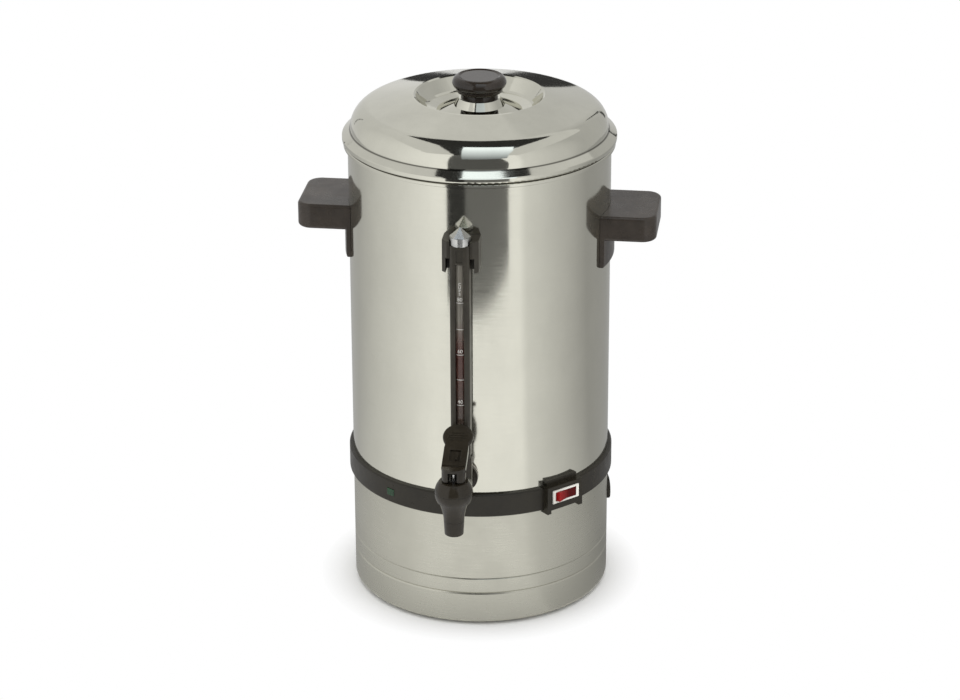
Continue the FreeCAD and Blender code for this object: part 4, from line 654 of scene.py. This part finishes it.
# Upright welds down the back of the tank and the base
class URN_OT_welds(bpy.types.Operator):
    """Upright welds at the back"""
    bl_idname = "urn.welds"
    bl_label = "Welds"

    def execute(self, context):
        width = context.scene.urn_details.weld_width
        bead = rolled_steel("WeldBead", (0.42, 0.41, 0.38), roughness=0.38, along=EVEN, depth=0.0003)
        tank = self.strip(BAND_HIGH.z + BAND_ROOM, TANK_HIGH.z - RIM_ROOM, width)
        keep(mesh_piece("tank_weld", tank), bead)
        base = self.strip(SKIRT_LOW.z + SKIRT_ROOM, BAND_LOW.z - SKIRT_ROOM, width)
        keep(mesh_piece("base_weld", base), bead)
        return {"FINISHED"}

    def strip(self, bottom, top, width):
        """Builder for a bead that runs up the back between two heights."""
        def build(work):
            count = int((top - bottom) / WELD_PITCH)
            rows = []
            for row in range(count + 1):
                height = bottom + (top - bottom) * row / count
                wave = WELD_WAVE * math.sin(row * WAVE_TURN)
                rows.append([work.verts.new((side * width / 2 + wave, SKIRT_HIGH.y + proud, height))
                             for side, proud in WELD_PROFILE])
            join_rows(work, rows, [(column, column + 1) for column in range(len(WELD_PROFILE) - 1)])
        return build


# Stage: floor, light, tent and camera

# Softboxes: name, place, height aimed at, size, power in watts
SOFTBOXES = (
    ("TopBox", (0.0, 0.15, 2.3), 0.2, (2.2, 1.8), 24),
    ("LeftBox", (-2.1, -1.0, 1.1), 0.25, (0.9, 1.9), 12),
    ("RightBox", (1.9, -1.1, 0.9), 0.25, (0.6, 1.7), 9),
)

# The floor keeps the urn's shadow up to where the paper's white takes over
FLOOR_RADIUS = 1.0
FLOOR_DROP = 0.0002
PAPER_STARTS = 0.122
PAPER_WHITE = 0.160

# The tent's openings, in units of its reach: x to the right, y to the back, z up from the tent's middle
SLOT_LEFT = -0.35
SLOT_RIGHT = 0.41
SLOT_FOOT_RIGHT = 0.60
SLOT_FOOT_TOP = 0.1
ROOF_SLOT = ((SLOT_LEFT, -1), (SLOT_RIGHT, -1), (SLOT_RIGHT, 0.55), (0.36, 0.7), (-0.48, 0.7), (-0.52, 0.62),
             (-0.354, 0))
WINDOW = ((-0.12, -0.08, 1), (0.34, -0.08, 1), (0.47, -0.80, 0.45), (-0.13, -0.9, 0.42))
GAP_FOOT = -0.1
BACK_GAPS = ((-0.25, 0.035, 0.2), (0.354, 0.394, 0.6), (-0.95, -0.92, 0.45))

# The paper's dark strip in front, and its darker left part
STRIP_LEFT = -0.36
STRIP_SHADE_RIGHT = -0.08

# The window's glow: the heights between which it brightens, and its levels there
WINDOW_RISE = (1.15, 1.75, 0.35, 1.5)

# Openings hang a little inside the tent, so that they hide what lies behind them, and all end over the floor
SLOT_INSET = 0.99
SHADE_INSET = 0.985
WINDOW_INSET = 0.9
CARD_FOOT = 0.0012

# The paper as rings on the floor: the inner ones in metres, the outermost in units of the reach
PAPER_HEIGHT = 0.0008
PAPER_RINGS = (0.127, 0.2, 0.4)
PAPER_REACH = 1.42
PAPER_STEPS = 72

# Camera film width in millimetres, and how far the camera sees in metres
CAMERA_FILM = 36.0
CAMERA_SIGHT = 20

# Azimuths, in radians to the right of the front, between which a card dims or brightens, and to what level
LEFT_DIMS = (-2.1, -0.5)
RIGHT_STEP = (0.70, 0.80)
RIGHT_STEP_LEVEL = 0.80
RIGHT_DIMS = (0.8, 1.9)
BACK_BRIGHTENS = (2.65, 2.95)
BACK_LEVEL = 1.2

# Painted shadow: the paper, as gloss sees it, is darker close to the urn
PAINTED_SHADOW_SPAN = (0.127, 0.24)
PAINTED_SHADOW_LEVEL = 0.6


class URN_OT_stage(bpy.types.Operator):
    """Pale floor, soft light and the camera"""
    bl_idname = "urn.stage"
    bl_label = "Stage"

    def execute(self, context):
        scene = context.scene
        stage = scene.urn_stage
        scene.view_settings.view_transform = "Standard"
        self.floor()
        self.surround(scene, stage)
        self.tent(stage)
        self.paper(stage)
        for softbox in SOFTBOXES:
            self.softbox(*softbox)
        self.camera(scene, stage)
        return {"FINISHED"}

    def floor(self):
        """Floor that takes the urn's shadow, and is white to the eye farther out."""
        floor = mesh_piece("floor", lambda work: bmesh.ops.create_circle(
            work, cap_ends=True, segments=96, radius=FLOOR_RADIUS))
        floor.location = AXIS - Vector((0, 0, FLOOR_DROP))
        tree = Tree("FloorWhite")
        speck = tree.noise(scale=30, detail=3)
        tree.link(tree.blend(speck, (0.93, 0.93, 0.92), (0.90, 0.90, 0.89)), "Base Color")
        tree.put("Roughness", 0.85)
        paper = tree.add("Emission", Color=(1, 1, 1, 1), Strength=1.0).outputs[0]
        rays = tree.add("LightPath").outputs
        seen = tree.maths("MAXIMUM", rays["Is Camera Ray"], rays["Is Glossy Ray"])
        seen = tree.maths("MAXIMUM", seen, rays["Is Transmission Ray"])
        white = tree.patches(tree.distance(tree.place), start=PAPER_STARTS, full=PAPER_WHITE)
        shown = tree.maths("MULTIPLY", seen, white)
        mixed = tree.add("MixShader", {0: shown, 1: tree.shader.outputs[0], 2: paper})
        floor.data.materials.append(tree.finish_with(mixed.outputs[0]))

    def surround(self, scene, stage):
        """White to the eye and in reflections, and a soft even light on the object."""
        world = bpy.data.worlds.new("Studio")
        scene.world = world
        world.use_nodes = True
        nodes = world.node_tree.nodes
        links = world.node_tree.links
        rays = nodes.new("ShaderNodeLightPath").outputs
        seen = rays["Is Camera Ray"]
        for kind in ("Is Glossy Ray", "Is Transmission Ray"):
            either = nodes.new("ShaderNodeMath")
            either.operation = "MAXIMUM"
            links.new(seen, either.inputs[0])
            links.new(rays[kind], either.inputs[1])
            seen = either.outputs[0]
        strength = nodes.new("ShaderNodeMapRange")
        links.new(seen, strength.inputs["Value"])
        strength.inputs["To Min"].default_value = stage.surround
        nodes["Background"].inputs["Color"].default_value = (1, 1, 1, 1)
        links.new(strength.outputs["Result"], nodes["Background"].inputs["Strength"])

    def tent(self, stage):
        """White tent with dark openings and a bluish window, which only gloss sees."""
        floor = -stage.tent_middle / stage.tent_reach
        near = stage.paper_front / stage.tent_reach
        sides = (((-1, -1), (1, -1)), ((-1, 1), (1, 1)), ((-1, -1), (-1, 1)), ((1, -1), (1, 1)))
        walls = [((*start, floor), (*end, floor), (*end, 1), (*start, 1)) for start, end in sides]
        self.card("tent_walls", self.sheets(stage, walls), self.reflector("TentWhite", ends=(0.66, 0.62)))
        roof = [((-1, -1, 1), (1, -1, 1), (1, 1, 1), (-1, 1, 1))]
        self.card("tent_roof", self.sheets(stage, roof), self.reflector("RoofWhite", level=0.68))

        overhead = [[(x, y, 1) for x, y in ROOF_SLOT]]
        self.card("roof_slot", self.sheets(stage, overhead, SLOT_INSET),
                  self.reflector("RoomDark", level=0.03))
        front = [[(x, -1, z) for x, z in ((SLOT_LEFT, 1), (SLOT_RIGHT, 1), (SLOT_FOOT_RIGHT, SLOT_FOOT_TOP),
                                          (SLOT_FOOT_RIGHT, floor), (SLOT_LEFT, floor))]]
        self.card("front_slot", self.sheets(stage, front, SLOT_INSET), self.reflector("RoomDim", level=0.10))
        gaps = [[(x, 1, z) for x, z in ((left, GAP_FOOT), (right, GAP_FOOT), (right, top), (left, top))]
                for left, right, top in BACK_GAPS]
        self.card("back_gaps", self.sheets(stage, gaps, SLOT_INSET), self.reflector("GapDark", level=0.04))
        self.card("front_window", self.sheets(stage, [WINDOW], WINDOW_INSET),
                  self.reflector("WindowBlue", tint=(0.84, 0.92, 1.0), rise=WINDOW_RISE))

        def strip(left, right):
            return [((left * near, -near, floor), (right * near, -near, floor), (right, -1, floor),
                     (left, -1, floor))]
        self.card("floor_slot", self.sheets(stage, strip(STRIP_LEFT, SLOT_FOOT_RIGHT)),
                  self.reflector("FloorDim", level=0.16))
        self.card("floor_shade", self.sheets(stage, strip(STRIP_LEFT, STRIP_SHADE_RIGHT), SHADE_INSET),
                  self.reflector("FloorDark", level=0.03))

    def sheets(self, stage, outlines, inset=1.0):
        """Builder for flat sheets with corners in units of the tent's reach, kept over the floor."""
        reach = stage.tent_reach

        def build(work):
            for outline in outlines:
                corners = [(x * reach * inset, y * reach * inset,
                            max(z * reach * inset + stage.tent_middle, CARD_FOOT)) for x, y, z in outline]
                work.faces.new([work.verts.new(corner) for corner in corners])
        return build

    def paper(self, stage):
        """Paper under the urn, as gloss sees it."""
        rings = (*PAPER_RINGS, stage.paper_front, PAPER_REACH * stage.tent_reach)

        def build(work):
            rows = []
            for step in range(PAPER_STEPS):
                turn = math.tau * step / PAPER_STEPS
                rows.append([work.verts.new((ring * math.sin(turn), -ring * math.cos(turn), PAPER_HEIGHT))
                             for ring in rings])
            join_rows(work, [*rows, rows[0]], [(place, place + 1) for place in range(len(rings) - 1)])
        # The paper card carries a painted shadow of the urn close to its base
        self.card("paper_card", build, self.reflector("PaperWhite", ends=(0.45, 0.46), painted_shadow=True))

    def reflector(self, name, level=1.0, ends=None, tint=(1, 1, 1), painted_shadow=False, rise=None):
        """Card that shines at a plain level, dims to the left and right, or brightens with height, and can
        carry a painted shadow near the urn.
        """
        tree = Tree(name)
        glow = tree.add("Emission", Color=(*tint, 1), Strength=level)
        if ends:
            parts = tree.axes()
            turn = tree.maths("ARCTAN2", parts["X"], tree.maths("MULTIPLY", parts["Y"], -1.0))
            left = tree.mapped(turn, *LEFT_DIMS, ends[0], 1.0)
            right = tree.maths("MULTIPLY", tree.mapped(turn, *RIGHT_STEP, 1.0, RIGHT_STEP_LEVEL),
                               tree.mapped(turn, *RIGHT_DIMS, 1.0, ends[1]))
            behind = tree.mapped(tree.maths("ABSOLUTE", turn), *BACK_BRIGHTENS, 1.0, BACK_LEVEL)
            strength = tree.maths("MULTIPLY", tree.maths("MULTIPLY", left, right), behind)
            # Painted shadow of the urn on the paper, as gloss sees it
            if painted_shadow:
                foot = tree.mapped(tree.distance(tree.place), *PAINTED_SHADOW_SPAN, PAINTED_SHADOW_LEVEL, 1.0)
                strength = tree.maths("MULTIPLY", strength, foot)
            tree.links.new(strength, glow.inputs["Strength"])
        if rise:
            tree.links.new(tree.mapped(tree.axes()["Z"], *rise), glow.inputs["Strength"])
        return tree.finish_with(glow.outputs[0])

    def card(self, name, build, material):
        """Sheet round the urn that only gloss sees."""
        piece = mesh_piece(name, build)
        piece.location = AXIS
        piece.data.materials.append(material)
        for kind in ("camera", "diffuse", "shadow", "transmission", "volume_scatter"):
            setattr(piece, "visible_" + kind, False)

    def softbox(self, name, place, aim_height, size, power):
        """Area lamp that polished steel doesn't mirror."""
        light = bpy.data.lights.new(name, "AREA")
        light.shape = "RECTANGLE"
        light.size, light.size_y = size
        light.energy = power
        lamp = bpy.data.objects.new(name, light)
        lamp.visible_glossy = False
        bpy.context.scene.collection.objects.link(lamp)
        direction = Vector((0, 0, aim_height)) - Vector(place)
        turned = direction.to_track_quat("-Z", "Y").to_matrix().to_4x4()
        lamp.matrix_world = Matrix.Translation(AXIS + Vector(place)) @ turned

    def camera(self, scene, stage):
        """Camera in the place that the photograph was taken from."""
        turn, rise, roll = stage.camera_turn, stage.camera_rise, stage.camera_roll
        ahead = Vector((-math.sin(turn) * math.cos(rise), math.cos(turn) * math.cos(rise), -math.sin(rise)))
        right = Vector((math.cos(turn), math.sin(turn), 0))
        up = right.cross(ahead)
        aim = AXIS + Vector((0, 0, stage.camera_aim))
        spot = aim - ahead * stage.camera_distance - right * stage.camera_shift
        tilted_right = right * math.cos(roll) - up * math.sin(roll)
        tilted_up = right * math.sin(roll) + up * math.cos(roll)
        data = bpy.data.cameras.new("PhotoCamera")
        data.sensor_width = CAMERA_FILM
        data.lens = stage.lens
        data.clip_end = CAMERA_SIGHT
        camera = bpy.data.objects.new("PhotoCamera", data)
        scene.collection.objects.link(camera)
        turned = Matrix((tilted_right, tilted_up, -ahead)).transposed().to_4x4()
        camera.matrix_world = Matrix.Translation(spot) @ turned
        scene.camera = camera


OPERATORS = (URN_OT_steel, URN_OT_plastics, URN_OT_clear_parts, URN_OT_shading, URN_OT_cup_marks,
             URN_OT_welds, URN_OT_stage)
SETTINGS = {"urn_finishes": UrnFinishes, "urn_details": UrnDetails, "urn_stage": UrnStage}


class URN_PT_sidebar(bpy.types.Panel):
    """Buttons and settings of the coffee urn"""
    bl_idname = "URN_PT_sidebar"
    bl_label = "Coffee Urn"
    bl_space_type = "VIEW_3D"
    bl_region_type = "UI"
    bl_category = "Coffee Urn"

    def draw(self, context):
        layout = self.layout
        for name, group in SETTINGS.items():
            box = layout.box()
            for setting in group.__annotations__:
                box.prop(getattr(context.scene, name), setting)
        for operator in OPERATORS:
            layout.operator(operator.bl_idname)


CLASSES = (*SETTINGS.values(), *OPERATORS, URN_PT_sidebar)


def register():
    for item in CLASSES:
        bpy.utils.register_class(item)
    for name, group in SETTINGS.items():
        setattr(bpy.types.Scene, name, bpy.props.PointerProperty(type=group))


def unregister():
    for name in SETTINGS:
        delattr(bpy.types.Scene, name)
    for item in reversed(CLASSES):
        bpy.utils.unregister_class(item)


def main():
    register()
    for operator in OPERATORS:
        group, action = operator.bl_idname.split(".")
        getattr(getattr(bpy.ops, group), action)()


if __name__ == "__main__":
    main()
